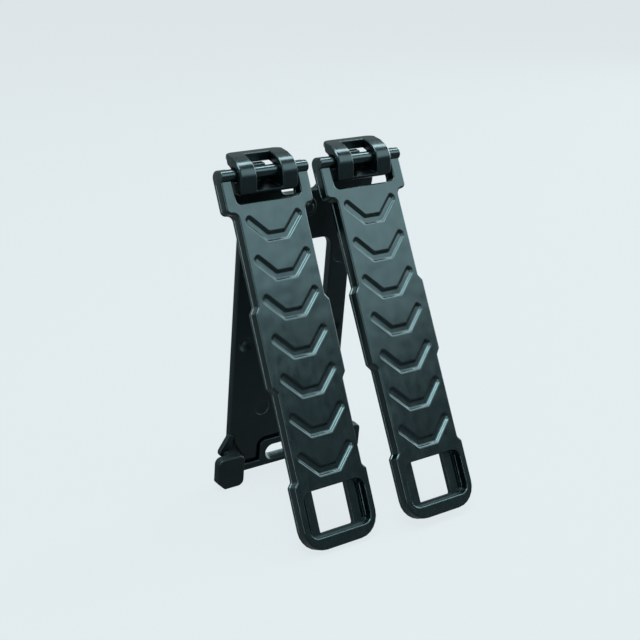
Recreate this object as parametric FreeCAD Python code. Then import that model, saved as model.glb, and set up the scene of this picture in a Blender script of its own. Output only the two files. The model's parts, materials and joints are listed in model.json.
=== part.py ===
"""Two-strap snap-hinged mount for ladder webbing, standing open on its straps and latch feet.

Millimetres. +Z is up, X runs along the hinge line, and -Y is the side with the ribbed strap faces.
The origin lies on the standing surface, in the middle of the part's footprint.

Three local systems are used, all with the hinge line as their X axis and the piece hanging
straight down from it: a strap's, the back frame's and a hinge hook's. In each of them -Y faces
the front, and a place called "down" is a distance below the hinge line.
"""

import FreeCAD, Part

import math
import os

from FreeCAD import Placement, Rotation, Vector

# ---------------------------------------------------------------- driving dimensions
STRAP_PITCH = 38.1            # two webbing loops of 19.05 between strap centres
LEFT_STRAP_LEAN = 21.7        # degrees that the left strap swings forward of plumb
RIGHT_STRAP_LEAN = 23.7       # the right strap stands a little wider open
FRAME_LEAN = 7.5              # degrees that the back frame leans back, foot away from the straps

# hinge
BAR_RADIUS = 2.0
BAR_END_CHAMFER = 0.3
HINGE_RUNNING_CLEARANCE = 0.08
SOCKET_RADIUS = BAR_RADIUS + HINGE_RUNNING_CLEARANCE

# strap
STRAP_LENGTH = 121.7
STRAP_THICKNESS = 4.9
STRAP_FACE_AHEAD = 0.6        # the front face stands this far ahead of the hinge line
HEAD_EAR_OVERHANG = 3.8       # how far each ear stands out beside the strap's neck
HEAD_DEPTH = 12.2
HEAD_EAR_WIDTH = 4.3
HEAD_WINDOW_DEPTH = 9.2
HEAD_WINDOW_RADIUS = 1.5
NARROW_HALF_WIDTH = 12.8
WIDE_STEP = 1.5               # how far the wide part stands out beside the narrow one
TAIL_STEP = 1.4
UPPER_STEP_DOWN = 42.1
WIDE_LENGTH = 26.0
TAIL_STEP_ABOVE_WINDOW = 4.0
STEP_RUN = 2.0
TAIL_STEP_RUN = 1.5
STEP_RADIUS = 0.8
TAIL_CORNER_RADIUS = 7.5
STRAP_EDGE_RADIUS = 0.45

# ribbed grip: sunk chevrons
CHEVRON_COUNT = 7
FIRST_CHEVRON_DOWN = 22.55
LAST_CHEVRON_ABOVE_WINDOW = 3.75
CHEVRON_BOTTOM_HALF_WIDTH = 4.0
CHEVRON_ARM_HALF_WIDTH = 10.65
CHEVRON_BAND = 3.25
CHEVRON_INNER_HALF_WIDTH = 2.9
CHEVRON_TIP_INSET = 1.5
CHEVRON_TIP_CUT = 1.3
CHEVRON_DEPTH = 0.9
CHEVRON_WALL_RUN = 0.8

# latch window at the strap's tail
LATCH_WINDOW_HALF_WIDTH = 11.85
LATCH_WINDOW_LENGTH = 15.0
LATCH_WINDOW_END_WALL = 4.2
LATCH_WINDOW_RADIUS = 3.0
LATCH_POCKET_DEPTH = 2.9
LATCH_HOLE_HALF_WIDTH = 6.7
LATCH_HOLE_SILL = 0.9
LATCH_HOLE_RADIUS = 0.6
RAIL_GROOVE_WIDTH = 1.95
RAIL_GROOVE_DEPTH = 4.0
RAIL_GROOVE_END_MARGIN = 1.2

# back frame
FRAME_GAP = 4.77              # hinge line to the frame's front face
FRAME_THICKNESS = 3.1
FRAME_HALF_WIDTH = 22.9
FRAME_LIFT = 1.45             # the frame's lower edge stays this far above the feet's soles
TAB_HALF_WIDTH = 11.0
TAB_TOP_DOWN = 1.0
TAB_CORNER_RADIUS = 1.0
TAB_SIDE_END_DOWN = 12.0
SHOULDER_END_DOWN = 19.0
SHOULDER_RADIUS = 3.0
VALLEY_DOWN = 11.0
VALLEY_RADIUS = 2.5
WINDOW_HALF_WIDTH = 14.4
WINDOW_TOP_DOWN = 28.5
WINDOW_BOTTOM_DOWN = 54.0
WINDOW_RADIUS = 4.0
FRAME_EDGE_RADIUS = 0.5
BOSS_DOWN = 14.8
BOSS_RADIUS = 3.5
BOSS_HEIGHT = 4.8
STUD_RADIUS = 1.9
STUD_HEIGHT = 0.9
STUD_DOME = 0.6

# mounting holes and slot
MOUNT_HOLE_IN_FROM_EDGE = 4.4
MOUNT_HOLE_DOWN = 63.3
MOUNT_HOLE_RADIUS = 1.25
MOUNT_HOLE_SINK_RUN = 1.85
MOUNT_HOLE_SINK_DEPTH = 1.0
SLOT_ABOVE_BOTTOM = 4.9
SLOT_HALF_LENGTH = 7.43
SLOT_HALF_HEIGHT = 3.1
SLOT_TAPER = 1.2
PAD_GROOVE_WIDTH = 1.8
PAD_GROOVE_DEPTH = 2.2
PAD_GROOVE_SIDE_WALL = 2.37   # between the slot's end and the groove
PAD_GROOVE_HEIGHT = 9.5
RAIL_HEIGHT = 2.8
PAD_GROOVE_RADIUS = 4.0
EJECTOR_MARK_RADIUS = 2.8
EJECTOR_MARK_DEPTH = 0.15
UPPER_MARK_ASIDE = 4.25        # from the window's side to the mark
UPPER_MARK_BELOW_WINDOW_TOP = 7.7
LOWER_MARK_OFFSET = 10.1
LOWER_MARK_ABOVE_BOTTOM = 24.3

# latches at the frame's lower corners, each swinging inward about its neck
LATCH_NECK_IN_FROM_EDGE = 0.5
LATCH_NECK_ABOVE_FOOT = 4.4
LATCH_NECK_RADIUS = 1.2
LATCH_ELBOW_BELOW_FOOT_TOP = 0.8
LATCH_ELBOW_RADIUS = 1.8
LATCH_HEEL_WIDTH = 3.5
LATCH_HEEL_BELOW_FOOT_TOP = 4.2
LATCH_HEEL_RADIUS = 1.2
LATCH_SHANK_OFFSET = 0.9       # from the strap's middle to the shank's inner side
LATCH_SHANK_CLEARANCE = 0.55   # to the side of the strap's hole
LATCH_FOOT_TOP_CLEARANCE = 0.8
LATCH_FOOT_LEDGE = 3.23       # thickness of the foot ahead of the strap's ledge
LATCH_SHANK_GAP = 0.35        # between the shank and the frame's front face
LATCH_LEDGE_CLEARANCE = 0.3
LATCH_SIDE_CLEARANCE = 0.3
LATCH_FOOT_CORNER_RADIUS = 2.2
LATCH_FOOT_CORNER_CUT = 3.0
LATCH_FOOT_EDGE_RADIUS = 0.7
LEG_CUT_DEPTH = 1.9            # into the leg's side, beside the latch arm
LEG_CUT_BELOW_NECK = 2.2
ARM_SPACE_WIDTH = 6.3          # from the leg's side to the end of the bottom rail
ARM_SPACE_BELOW_NECK = 8.8
ARM_SHIELD_THICKNESS = 0.9     # skin of the frame left behind the latch arm
ARM_SHIELD_CLEARANCE = 0.3
ARM_SHIELD_ABOVE_BOTTOM = 6.5  # from the frame's lower edge to the skin's outer corner

# hinge hooks
HOOK_INNER = 4.9
HOOK_OUTER = TAB_HALF_WIDTH
HOOK_EDGE_RADIUS = 0.5
HOOK_ROOT_DOWN = 7.2
HOOK_FLOOR_DOWN = 4.4
BRIDGE_FRONT = 4.4
HOOK_TOP = 5.15
NOSE_THICKNESS = 1.8
NOSE_BACK = 7.7
NOSE_CORNER_RADIUS = 3.3
TONGUE_HALF_WIDTH = 2.4
TONGUE_TOP = 2.35
TONGUE_CLEARANCE = 0.3

# ---------------------------------------------------------------- derived places
HINGE_OFFSET = STRAP_PITCH / 2
STRAP_REAR = STRAP_THICKNESS - STRAP_FACE_AHEAD
HEAD_HALF_WIDTH = NARROW_HALF_WIDTH + HEAD_EAR_OVERHANG
WIDE_HALF_WIDTH = NARROW_HALF_WIDTH + WIDE_STEP
TAIL_HALF_WIDTH = NARROW_HALF_WIDTH + TAIL_STEP
HEAD_WINDOW_HALF_WIDTH = HEAD_HALF_WIDTH - HEAD_EAR_WIDTH
HEAD_CORNER_RADIUS = 0.48 * HEAD_EAR_OVERHANG
NECK_FILLET_RADIUS = 0.5 * HEAD_EAR_OVERHANG
LATCH_WINDOW_BOTTOM_DOWN = STRAP_LENGTH - LATCH_WINDOW_END_WALL
LATCH_WINDOW_TOP_DOWN = LATCH_WINDOW_BOTTOM_DOWN - LATCH_WINDOW_LENGTH
LATCH_HOLE_BOTTOM_DOWN = LATCH_WINDOW_BOTTOM_DOWN - LATCH_HOLE_SILL
RAIL_GROOVE_INNER = LATCH_WINDOW_HALF_WIDTH - RAIL_GROOVE_WIDTH
LOWER_STEP_DOWN = UPPER_STEP_DOWN + WIDE_LENGTH
TAIL_STEP_DOWN = LATCH_WINDOW_TOP_DOWN - TAIL_STEP_ABOVE_WINDOW
LAST_CHEVRON_DOWN = LATCH_WINDOW_TOP_DOWN - LAST_CHEVRON_ABOVE_WINDOW
CHEVRON_PITCH = (LAST_CHEVRON_DOWN - FIRST_CHEVRON_DOWN) / (CHEVRON_COUNT - 1)
SIN_LEFT = math.sin(math.radians(LEFT_STRAP_LEAN))
COS_LEFT = math.cos(math.radians(LEFT_STRAP_LEAN))
SIN_RIGHT = math.sin(math.radians(RIGHT_STRAP_LEAN))
COS_RIGHT = math.cos(math.radians(RIGHT_STRAP_LEAN))
SIN_FRAME = math.sin(math.radians(FRAME_LEAN))
COS_FRAME = math.cos(math.radians(FRAME_LEAN))
FRAME_BACK = FRAME_GAP + FRAME_THICKNESS
# the part stands on the rounded rear edge of the left strap's tail and on its feet
HINGE_HEIGHT = ((STRAP_LENGTH - STRAP_EDGE_RADIUS) * COS_LEFT
                + (STRAP_REAR - STRAP_EDGE_RADIUS) * SIN_LEFT + STRAP_EDGE_RADIUS)
LATCH_LEDGE_Y = LATCH_POCKET_DEPTH - STRAP_FACE_AHEAD
LATCH_FOOT_BACK_Y = LATCH_LEDGE_Y - LATCH_LEDGE_CLEARANCE
LATCH_FOOT_FRONT_Y = LATCH_FOOT_BACK_Y - LATCH_FOOT_LEDGE
LATCH_FOOT_BOTTOM_DOWN = ((HINGE_HEIGHT - LATCH_FOOT_EDGE_RADIUS
                           + (LATCH_FOOT_FRONT_Y + LATCH_FOOT_EDGE_RADIUS) * SIN_FRAME) / COS_FRAME
                          + LATCH_FOOT_EDGE_RADIUS)
FRAME_BOTTOM_DOWN = LATCH_FOOT_BOTTOM_DOWN - FRAME_LIFT
# the footprint runs from the right strap's tail to the frame's lower rear edge
FOOTPRINT_AHEAD = ((STRAP_LENGTH - STRAP_EDGE_RADIUS) * SIN_RIGHT
                   + (STRAP_FACE_AHEAD - STRAP_EDGE_RADIUS) * COS_RIGHT + STRAP_EDGE_RADIUS)
FOOTPRINT_BEHIND = ((FRAME_BACK - FRAME_EDGE_RADIUS) * COS_FRAME
                    + (FRAME_BOTTOM_DOWN - FRAME_EDGE_RADIUS) * SIN_FRAME + FRAME_EDGE_RADIUS)
HINGE_Y = (FOOTPRINT_AHEAD - FOOTPRINT_BEHIND) / 2
MOUNT_HOLE_OFFSET = FRAME_HALF_WIDTH - MOUNT_HOLE_IN_FROM_EDGE
LATCH_FOOT_OUTER_X = HINGE_OFFSET + LATCH_WINDOW_HALF_WIDTH - LATCH_SIDE_CLEARANCE
HOOK_TOE = Vector(0, -3.2, -5.9)
LATCH_FOOT_TOP_DOWN = LATCH_WINDOW_TOP_DOWN + LATCH_FOOT_TOP_CLEARANCE
LATCH_SHANK_INNER_X = HINGE_OFFSET + LATCH_SHANK_OFFSET
LATCH_SHANK_OUTER_X = HINGE_OFFSET + LATCH_HOLE_HALF_WIDTH - LATCH_SHANK_CLEARANCE
ARM_SHIELD_FRONT = FRAME_BACK - ARM_SHIELD_THICKNESS
LATCH_ARM_BACK = ARM_SHIELD_FRONT - ARM_SHIELD_CLEARANCE
ARM_SHIELD_DOWN = FRAME_BOTTOM_DOWN - ARM_SHIELD_ABOVE_BOTTOM
LATCH_NECK_X = FRAME_HALF_WIDTH - LATCH_NECK_IN_FROM_EDGE
LATCH_NECK_DOWN = LATCH_FOOT_TOP_DOWN - LATCH_NECK_ABOVE_FOOT
LATCH_ELBOW_X = LATCH_SHANK_OUTER_X - LATCH_ELBOW_RADIUS / 8
LATCH_ELBOW_DOWN = LATCH_FOOT_TOP_DOWN + LATCH_ELBOW_BELOW_FOOT_TOP
LATCH_HEEL_INNER_X = LATCH_SHANK_OUTER_X - LATCH_HEEL_WIDTH
LATCH_HEEL_BOTTOM_DOWN = LATCH_FOOT_TOP_DOWN + LATCH_HEEL_BELOW_FOOT_TOP
LEG_CUT_X = FRAME_HALF_WIDTH - LEG_CUT_DEPTH
LEG_CUT_DOWN = LATCH_NECK_DOWN + LEG_CUT_BELOW_NECK
RAIL_END_X = FRAME_HALF_WIDTH - ARM_SPACE_WIDTH
RAIL_CUT_DOWN = LATCH_NECK_DOWN + ARM_SPACE_BELOW_NECK
SLOT_DOWN = FRAME_BOTTOM_DOWN - SLOT_ABOVE_BOTTOM
PAD_GROOVE_RAIL_DOWN = FRAME_BOTTOM_DOWN - RAIL_HEIGHT
PAD_GROOVE_TOP_DOWN = PAD_GROOVE_RAIL_DOWN - PAD_GROOVE_HEIGHT
PAD_GROOVE_HALF_WIDTH = SLOT_HALF_LENGTH + PAD_GROOVE_SIDE_WALL + PAD_GROOVE_WIDTH
EJECTOR_MARKS = (
    (WINDOW_HALF_WIDTH + UPPER_MARK_ASIDE, WINDOW_TOP_DOWN + UPPER_MARK_BELOW_WINDOW_TOP),
    (LOWER_MARK_OFFSET, FRAME_BOTTOM_DOWN - LOWER_MARK_ABOVE_BOTTOM),
)
PAST = 1.0                    # how far a cutting solid runs past the face that it opens


def corner_arc(before, corner, after, radius):
    """Return the tangent points and the arc that round a corner between two straight runs."""
    to_before = (before - corner).normalize()
    to_after = (after - corner).normalize()
    half_angle = to_before.getAngle(to_after) / 2
    reach = radius / math.tan(half_angle)
    start = corner + to_before * reach
    end = corner + to_after * reach
    bisector = (to_before + to_after).normalize()
    centre = corner + bisector * (radius / math.sin(half_angle))
    middle = centre - bisector * radius
    return start, end, Part.Arc(start, middle, end).toShape()


def outline_face(corners):
    """Make a flat face in the XZ plane from (x, z, corner radius) triples in order."""
    points = [Vector(x, 0, z) for x, z, _ in corners]
    count = len(corners)
    edges = []
    ends = []
    for index, (_, _, radius) in enumerate(corners):
        corner = points[index]
        if radius > 0:
            start, end, arc = corner_arc(points[index - 1], corner, points[(index + 1) % count], radius)
            ends.append((start, end, arc))
        else:
            ends.append((corner, corner, None))
    for index in range(count):
        _, end, arc = ends[index]
        next_start = ends[(index + 1) % count][0]
        if arc is not None:
            edges.append(arc)
        if end.distanceToPoint(next_start) > 1e-6:
            edges.append(Part.makeLine(end, next_start))
    return Part.Face(Part.Wire(Part.__sortEdges__(edges)))


def slab(corners, front, back):
    """Extrude an XZ outline from y = front to y = back."""
    face = outline_face(corners)
    face.translate(Vector(0, front, 0))
    return face.extrude(Vector(0, back - front, 0))


def mirrored_outline(right_half):
    """Complete an outline whose right half is listed from the top centre down."""
    left_half = [(-x, z, radius) for x, z, radius in reversed(right_half)]
    return right_half + left_half


def rectangle(half_width, top, bottom, radius):
    """Outline of an upright rectangle centred on x = 0 with rounded corners."""
    return mirrored_outline([(half_width, top, radius), (half_width, bottom, radius)])


def centred_box(x_low, x_high, y_low, y_high, z_low, z_high):
    """Box between the given planes."""
    return Part.makeBox(x_high - x_low, y_high - y_low, z_high - z_low, Vector(x_low, y_low, z_low))


def rod(radius, x_low, x_high, y=0.0, z=0.0):
    """Cylinder along X."""
    return Part.makeCylinder(radius, x_high - x_low, Vector(x_low, y, z), Vector(1, 0, 0))


def mirror_x(shape):
    """Mirror a shape in the plane x = 0."""
    return shape.mirror(Vector(0, 0, 0), Vector(1, 0, 0))


def edges_in_plane(shape, y):
    """Edges of a shape that lie wholly in the plane at the given y."""
    found = []
    for edge in shape.Edges:
        box = edge.BoundBox
        if abs(box.YMin - y) < 1e-4 and abs(box.YMax - y) < 1e-4:
            found.append(edge)
    return found


# ---------------------------------------------------------------- strap
def chevron_cutter(down):
    """Sunk chevron with sloping walls whose lower edge lies at the given distance down."""
    arm_drop = CHEVRON_ARM_HALF_WIDTH - CHEVRON_BOTTOM_HALF_WIDTH
    tip_up = down - arm_drop
    inner_arm_x = CHEVRON_ARM_HALF_WIDTH - CHEVRON_TIP_INSET
    inner_tip_up = down - CHEVRON_BAND - (inner_arm_x - CHEVRON_INNER_HALF_WIDTH)
    half = [
        (CHEVRON_INNER_HALF_WIDTH, -(down - CHEVRON_BAND)),
        (inner_arm_x, -inner_tip_up),
        (CHEVRON_ARM_HALF_WIDTH, -(tip_up - CHEVRON_TIP_CUT)),
        (CHEVRON_ARM_HALF_WIDTH, -tip_up),
        (CHEVRON_BOTTOM_HALF_WIDTH, -down),
    ]
    outline = half + [(-x, z) for x, z in reversed(half)]
    points = [Vector(x, -STRAP_FACE_AHEAD, z) for x, z in outline]
    mouth = Part.makePolygon(points + points[:1])
    floor = mouth.makeOffset2D(-CHEVRON_WALL_RUN, 2, False, False, True)
    floor.translate(Vector(0, CHEVRON_DEPTH, 0))
    return Part.makeLoft([mouth, floor], True, True)


def strap_body():
    """Strap moulding without its round hinge bar, hanging straight down from the hinge line."""
    half = [
        (HEAD_HALF_WIDTH, 0, 0),
        (HEAD_HALF_WIDTH, -HEAD_DEPTH, HEAD_CORNER_RADIUS),
        (NARROW_HALF_WIDTH, -HEAD_DEPTH, NECK_FILLET_RADIUS),
        (NARROW_HALF_WIDTH, -UPPER_STEP_DOWN, STEP_RADIUS),
        (WIDE_HALF_WIDTH, -(UPPER_STEP_DOWN + STEP_RUN), STEP_RADIUS),
        (WIDE_HALF_WIDTH, -LOWER_STEP_DOWN, STEP_RADIUS),
        (NARROW_HALF_WIDTH, -(LOWER_STEP_DOWN + STEP_RUN), STEP_RADIUS),
        (NARROW_HALF_WIDTH, -TAIL_STEP_DOWN, STEP_RADIUS),
        (TAIL_HALF_WIDTH, -(TAIL_STEP_DOWN + TAIL_STEP_RUN), STEP_RADIUS),
        (TAIL_HALF_WIDTH, -STRAP_LENGTH, TAIL_CORNER_RADIUS),
    ]
    front = -STRAP_FACE_AHEAD
    body = slab(mirrored_outline(half), front, STRAP_REAR)
    body = body.makeFillet(STRAP_EDGE_RADIUS, edges_below(body, front) + edges_below(body, STRAP_REAR))
    ear_centre = (STRAP_REAR + front) / 2
    body = body.fuse(rod(STRAP_THICKNESS / 2, -HEAD_HALF_WIDTH, HEAD_HALF_WIDTH, ear_centre))
    head_window = slab(rectangle(HEAD_WINDOW_HALF_WIDTH, HEAD_WINDOW_DEPTH, -HEAD_WINDOW_DEPTH,
                                 HEAD_WINDOW_RADIUS), front - PAST, STRAP_REAR + PAST)
    cutters = [head_window, rod(BAR_RADIUS, -HEAD_HALF_WIDTH, HEAD_HALF_WIDTH)]
    cutters += [chevron_cutter(FIRST_CHEVRON_DOWN + index * CHEVRON_PITCH) for index in range(CHEVRON_COUNT)]
    cutters += latch_window_cutters()
    return body.cut(cutters).removeSplitter()


def edges_below(shape, y):
    """Edges in the plane at the given y that lie below the hinge line."""
    return [edge for edge in edges_in_plane(shape, y) if edge.BoundBox.ZMin < -1e-3]


def latch_window_cutters():
    """Stepped window at the tail: a front pocket, a hole through it and a groove in each ledge."""
    front = -STRAP_FACE_AHEAD
    pocket = slab(rectangle(LATCH_WINDOW_HALF_WIDTH, -LATCH_WINDOW_TOP_DOWN, -LATCH_WINDOW_BOTTOM_DOWN,
                            LATCH_WINDOW_RADIUS), front - PAST, front + LATCH_POCKET_DEPTH)
    hole = slab(rectangle(LATCH_HOLE_HALF_WIDTH, -LATCH_WINDOW_TOP_DOWN, -LATCH_HOLE_BOTTOM_DOWN,
                          LATCH_HOLE_RADIUS), front - PAST, STRAP_REAR + PAST)
    groove = centred_box(RAIL_GROOVE_INNER, LATCH_WINDOW_HALF_WIDTH, front, front + RAIL_GROOVE_DEPTH,
                         -(LATCH_WINDOW_BOTTOM_DOWN - RAIL_GROOVE_END_MARGIN),
                         -(LATCH_WINDOW_TOP_DOWN + RAIL_GROOVE_END_MARGIN))
    return [pocket, hole, groove, mirror_x(groove)]


def hinge_bar():
    """Round bar across the strap's head."""
    bar = rod(BAR_RADIUS, -HEAD_HALF_WIDTH, HEAD_HALF_WIDTH)
    rims = [edge for edge in bar.Edges if edge.BoundBox.XLength < 1e-6]
    return bar.makeChamfer(BAR_END_CHAMFER, rims)


# ---------------------------------------------------------------- back frame
def frame_outline():
    """Outline of the back frame's plate."""
    tab_inner = HINGE_OFFSET - TAB_HALF_WIDTH
    tab_outer = HINGE_OFFSET + TAB_HALF_WIDTH
    half = [
        (tab_inner, -VALLEY_DOWN, VALLEY_RADIUS),
        (tab_inner, -TAB_TOP_DOWN, TAB_CORNER_RADIUS),
        (tab_outer, -TAB_TOP_DOWN, TAB_CORNER_RADIUS),
        (tab_outer, -TAB_SIDE_END_DOWN, SHOULDER_RADIUS),
        (FRAME_HALF_WIDTH, -SHOULDER_END_DOWN, SHOULDER_RADIUS),
        (FRAME_HALF_WIDTH, -ARM_SHIELD_DOWN, SHOULDER_RADIUS),
        (RAIL_END_X, -(ARM_SHIELD_DOWN + ARM_SPACE_WIDTH / 2), STEP_RADIUS),
        (RAIL_END_X, -FRAME_BOTTOM_DOWN, STEP_RADIUS),
    ]
    return mirrored_outline(half)


def frame_plate():
    """Back frame moulding: plate, window, centre boss, mounting holes, slot and spring grooves."""
    plate = slab(frame_outline(), FRAME_GAP, FRAME_BACK)
    plate = plate.makeFillet(FRAME_EDGE_RADIUS,
                             edges_in_plane(plate, FRAME_GAP) + edges_in_plane(plate, FRAME_BACK))
    window = slab(rectangle(WINDOW_HALF_WIDTH, -WINDOW_TOP_DOWN, -WINDOW_BOTTOM_DOWN, WINDOW_RADIUS),
                  FRAME_GAP - PAST, FRAME_BACK + PAST)
    plate = plate.fuse(centre_boss())
    cutters = [window, tapered_slot(), pad_groove()]
    for side in (-1, 1):
        cutters += mount_hole(side)
        cutters += latch_notch(side)
        cutters += [ejector_mark(side * x, down) for x, down in EJECTOR_MARKS]
    return plate.cut(cutters).removeSplitter()


def centre_boss():
    """Round boss between the strap necks, with a low stud on its face."""
    face = FRAME_GAP - BOSS_HEIGHT
    boss = Part.makeCylinder(BOSS_RADIUS, BOSS_HEIGHT + PAST, Vector(0, face, -BOSS_DOWN), Vector(0, 1, 0))
    boss = boss.makeFillet(FRAME_EDGE_RADIUS, edges_in_plane(boss, face))
    stud = Part.makeCylinder(STUD_RADIUS, STUD_HEIGHT, Vector(0, face - STUD_HEIGHT, -BOSS_DOWN),
                             Vector(0, 1, 0))
    stud = stud.makeFillet(STUD_DOME, edges_in_plane(stud, face - STUD_HEIGHT))
    return boss.fuse(stud)


def mount_hole(side):
    """Countersunk screw hole in one leg."""
    x = side * MOUNT_HOLE_OFFSET
    hole = Part.makeCylinder(MOUNT_HOLE_RADIUS, FRAME_THICKNESS + 2 * PAST,
                             Vector(x, FRAME_GAP - PAST, -MOUNT_HOLE_DOWN), Vector(0, 1, 0))
    sink = Part.makeCone(MOUNT_HOLE_RADIUS + MOUNT_HOLE_SINK_RUN, MOUNT_HOLE_RADIUS, MOUNT_HOLE_SINK_DEPTH,
                         Vector(x, FRAME_GAP, -MOUNT_HOLE_DOWN), Vector(0, 1, 0))
    return [hole, sink]


def stadium_wire(half_length, half_height, y):
    """Closed wire of a slot with round ends, centred on the lower slot."""
    straight = half_length - half_height
    z = -SLOT_DOWN
    top_left = Vector(-straight, y, z + half_height)
    top_right = Vector(straight, y, z + half_height)
    bottom_right = Vector(straight, y, z - half_height)
    bottom_left = Vector(-straight, y, z - half_height)
    right_end = Vector(half_length, y, z)
    left_end = Vector(-half_length, y, z)
    return Part.Wire([
        Part.makeLine(top_left, top_right),
        Part.Arc(top_right, right_end, bottom_right).toShape(),
        Part.makeLine(bottom_right, bottom_left),
        Part.Arc(bottom_left, left_end, top_left).toShape(),
    ])


def tapered_slot():
    """Mounting slot that narrows towards the back, as a countersunk slot does."""
    front = stadium_wire(SLOT_HALF_LENGTH, SLOT_HALF_HEIGHT, FRAME_GAP)
    back = stadium_wire(SLOT_HALF_LENGTH - SLOT_TAPER, SLOT_HALF_HEIGHT - SLOT_TAPER, FRAME_BACK)
    return Part.makeLoft([front, back], True, True)


def pad_groove():
    """Blind groove that frees the slot's pad and the bottom rail to flex."""
    outer = [
        (PAD_GROOVE_HALF_WIDTH, -PAD_GROOVE_TOP_DOWN, PAD_GROOVE_RADIUS),
        (PAD_GROOVE_HALF_WIDTH, -(PAD_GROOVE_RAIL_DOWN - PAD_GROOVE_WIDTH), 0),
        (RAIL_END_X + PAST, -(PAD_GROOVE_RAIL_DOWN - PAD_GROOVE_WIDTH), 0),
        (RAIL_END_X + PAST, -PAD_GROOVE_RAIL_DOWN, 0),
        (PAD_GROOVE_HALF_WIDTH - PAD_GROOVE_WIDTH, -PAD_GROOVE_RAIL_DOWN, 0),
        (PAD_GROOVE_HALF_WIDTH - PAD_GROOVE_WIDTH, -(PAD_GROOVE_TOP_DOWN + PAD_GROOVE_WIDTH),
         PAD_GROOVE_RADIUS - PAD_GROOVE_WIDTH),
    ]
    left = [(-x, z, radius) for x, z, radius in reversed(outer)]
    return slab(outer + left, FRAME_GAP - PAST, FRAME_GAP + PAD_GROOVE_DEPTH)


def latch_notch(side):
    """Blind room in the leg's lower corner for one latch neck and the arm below it."""
    socket = Part.makeCylinder(LATCH_NECK_RADIUS + HINGE_RUNNING_CLEARANCE,
                               ARM_SHIELD_FRONT - FRAME_GAP + PAST,
                               Vector(LATCH_NECK_X, FRAME_GAP - PAST, -LATCH_NECK_DOWN), Vector(0, 1, 0))
    outside = FRAME_HALF_WIDTH + PAST
    below = FRAME_BOTTOM_DOWN + PAST
    corners = [
        (outside, -LATCH_NECK_DOWN, 0),
        (outside, -below, 0),
        (RAIL_END_X, -below, 0),
        (RAIL_END_X, -RAIL_CUT_DOWN, STEP_RADIUS),
        (LEG_CUT_X, -LEG_CUT_DOWN, STEP_RADIUS),
        (LEG_CUT_X, -LATCH_NECK_DOWN, 0),
    ]
    space = slab(corners, FRAME_GAP - PAST, ARM_SHIELD_FRONT)
    cutters = [socket, space]
    if side < 0:
        cutters = [mirror_x(cutter) for cutter in cutters]
    return cutters


def ejector_mark(x, down):
    """Shallow round mark left by the mould's ejector pin."""
    return Part.makeCylinder(EJECTOR_MARK_RADIUS, EJECTOR_MARK_DEPTH, Vector(x, FRAME_GAP, -down),
                             Vector(0, 1, 0))


# ---------------------------------------------------------------- latches
def latch():
    """Right-hand latch: round neck, arm, heel and shank, and the foot that catches the strap's ledge."""
    neck_centre = Vector(LATCH_NECK_X, FRAME_GAP, -LATCH_NECK_DOWN)
    elbow_centre = Vector(LATCH_ELBOW_X, FRAME_GAP, -LATCH_ELBOW_DOWN)
    arm_thickness = LATCH_ARM_BACK - FRAME_GAP
    neck = Part.makeCylinder(LATCH_NECK_RADIUS, arm_thickness, neck_centre, Vector(0, 1, 0))
    elbow = Part.makeCylinder(LATCH_ELBOW_RADIUS, arm_thickness, elbow_centre, Vector(0, 1, 0))
    arm = tangent_web(neck_centre, LATCH_NECK_RADIUS, elbow_centre, LATCH_ELBOW_RADIUS)
    foot_back = LATCH_FOOT_BACK_Y
    heel_corners = [
        (LATCH_HEEL_INNER_X, -LATCH_ELBOW_DOWN, LATCH_HEEL_RADIUS),
        (LATCH_SHANK_OUTER_X, -LATCH_ELBOW_DOWN, 0),
        (LATCH_SHANK_OUTER_X, -LATCH_HEEL_BOTTOM_DOWN, LATCH_HEEL_RADIUS),
        (LATCH_HEEL_INNER_X, -LATCH_HEEL_BOTTOM_DOWN, LATCH_HEEL_RADIUS),
    ]
    heel = slab(heel_corners, foot_back, LATCH_ARM_BACK)
    shank_corners = [
        (LATCH_SHANK_INNER_X, -LATCH_FOOT_TOP_DOWN, LATCH_FOOT_CORNER_RADIUS),
        (LATCH_SHANK_OUTER_X, -LATCH_FOOT_TOP_DOWN, 0),
        (LATCH_SHANK_OUTER_X, -LATCH_FOOT_BOTTOM_DOWN, 0),
        (LATCH_SHANK_INNER_X, -LATCH_FOOT_BOTTOM_DOWN, LATCH_FOOT_CORNER_RADIUS),
    ]
    shank = slab(shank_corners, foot_back, FRAME_GAP - LATCH_SHANK_GAP)
    foot_corners = [
        (LATCH_SHANK_INNER_X, -LATCH_FOOT_TOP_DOWN, LATCH_FOOT_CORNER_RADIUS),
        (LATCH_FOOT_OUTER_X, -LATCH_FOOT_TOP_DOWN, LATCH_FOOT_CORNER_RADIUS),
        (LATCH_FOOT_OUTER_X, -(LATCH_FOOT_BOTTOM_DOWN - LATCH_FOOT_CORNER_CUT), LATCH_FOOT_EDGE_RADIUS),
        (LATCH_FOOT_OUTER_X - LATCH_FOOT_CORNER_CUT, -LATCH_FOOT_BOTTOM_DOWN, LATCH_FOOT_EDGE_RADIUS),
        (LATCH_SHANK_INNER_X, -LATCH_FOOT_BOTTOM_DOWN, LATCH_FOOT_CORNER_RADIUS),
    ]
    foot = slab(foot_corners, LATCH_FOOT_FRONT_Y, foot_back)
    foot = foot.makeFillet(LATCH_FOOT_EDGE_RADIUS, edges_in_plane(foot, LATCH_FOOT_FRONT_Y))
    return neck.fuse([elbow, arm, heel, shank, foot]).removeSplitter()


def tangent_web(start, start_radius, end, end_radius):
    """Plate between two round ends whose sides are nearly tangent to both."""
    along = (end - start).normalize()
    across = Vector(along.z, 0, -along.x)
    corners = [
        start + across * start_radius,
        end + across * end_radius,
        end - across * end_radius,
        start - across * start_radius,
    ]
    face = Part.Face(Part.makePolygon(corners + corners[:1]))
    return face.extrude(Vector(0, LATCH_ARM_BACK - FRAME_GAP, 0))


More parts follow.
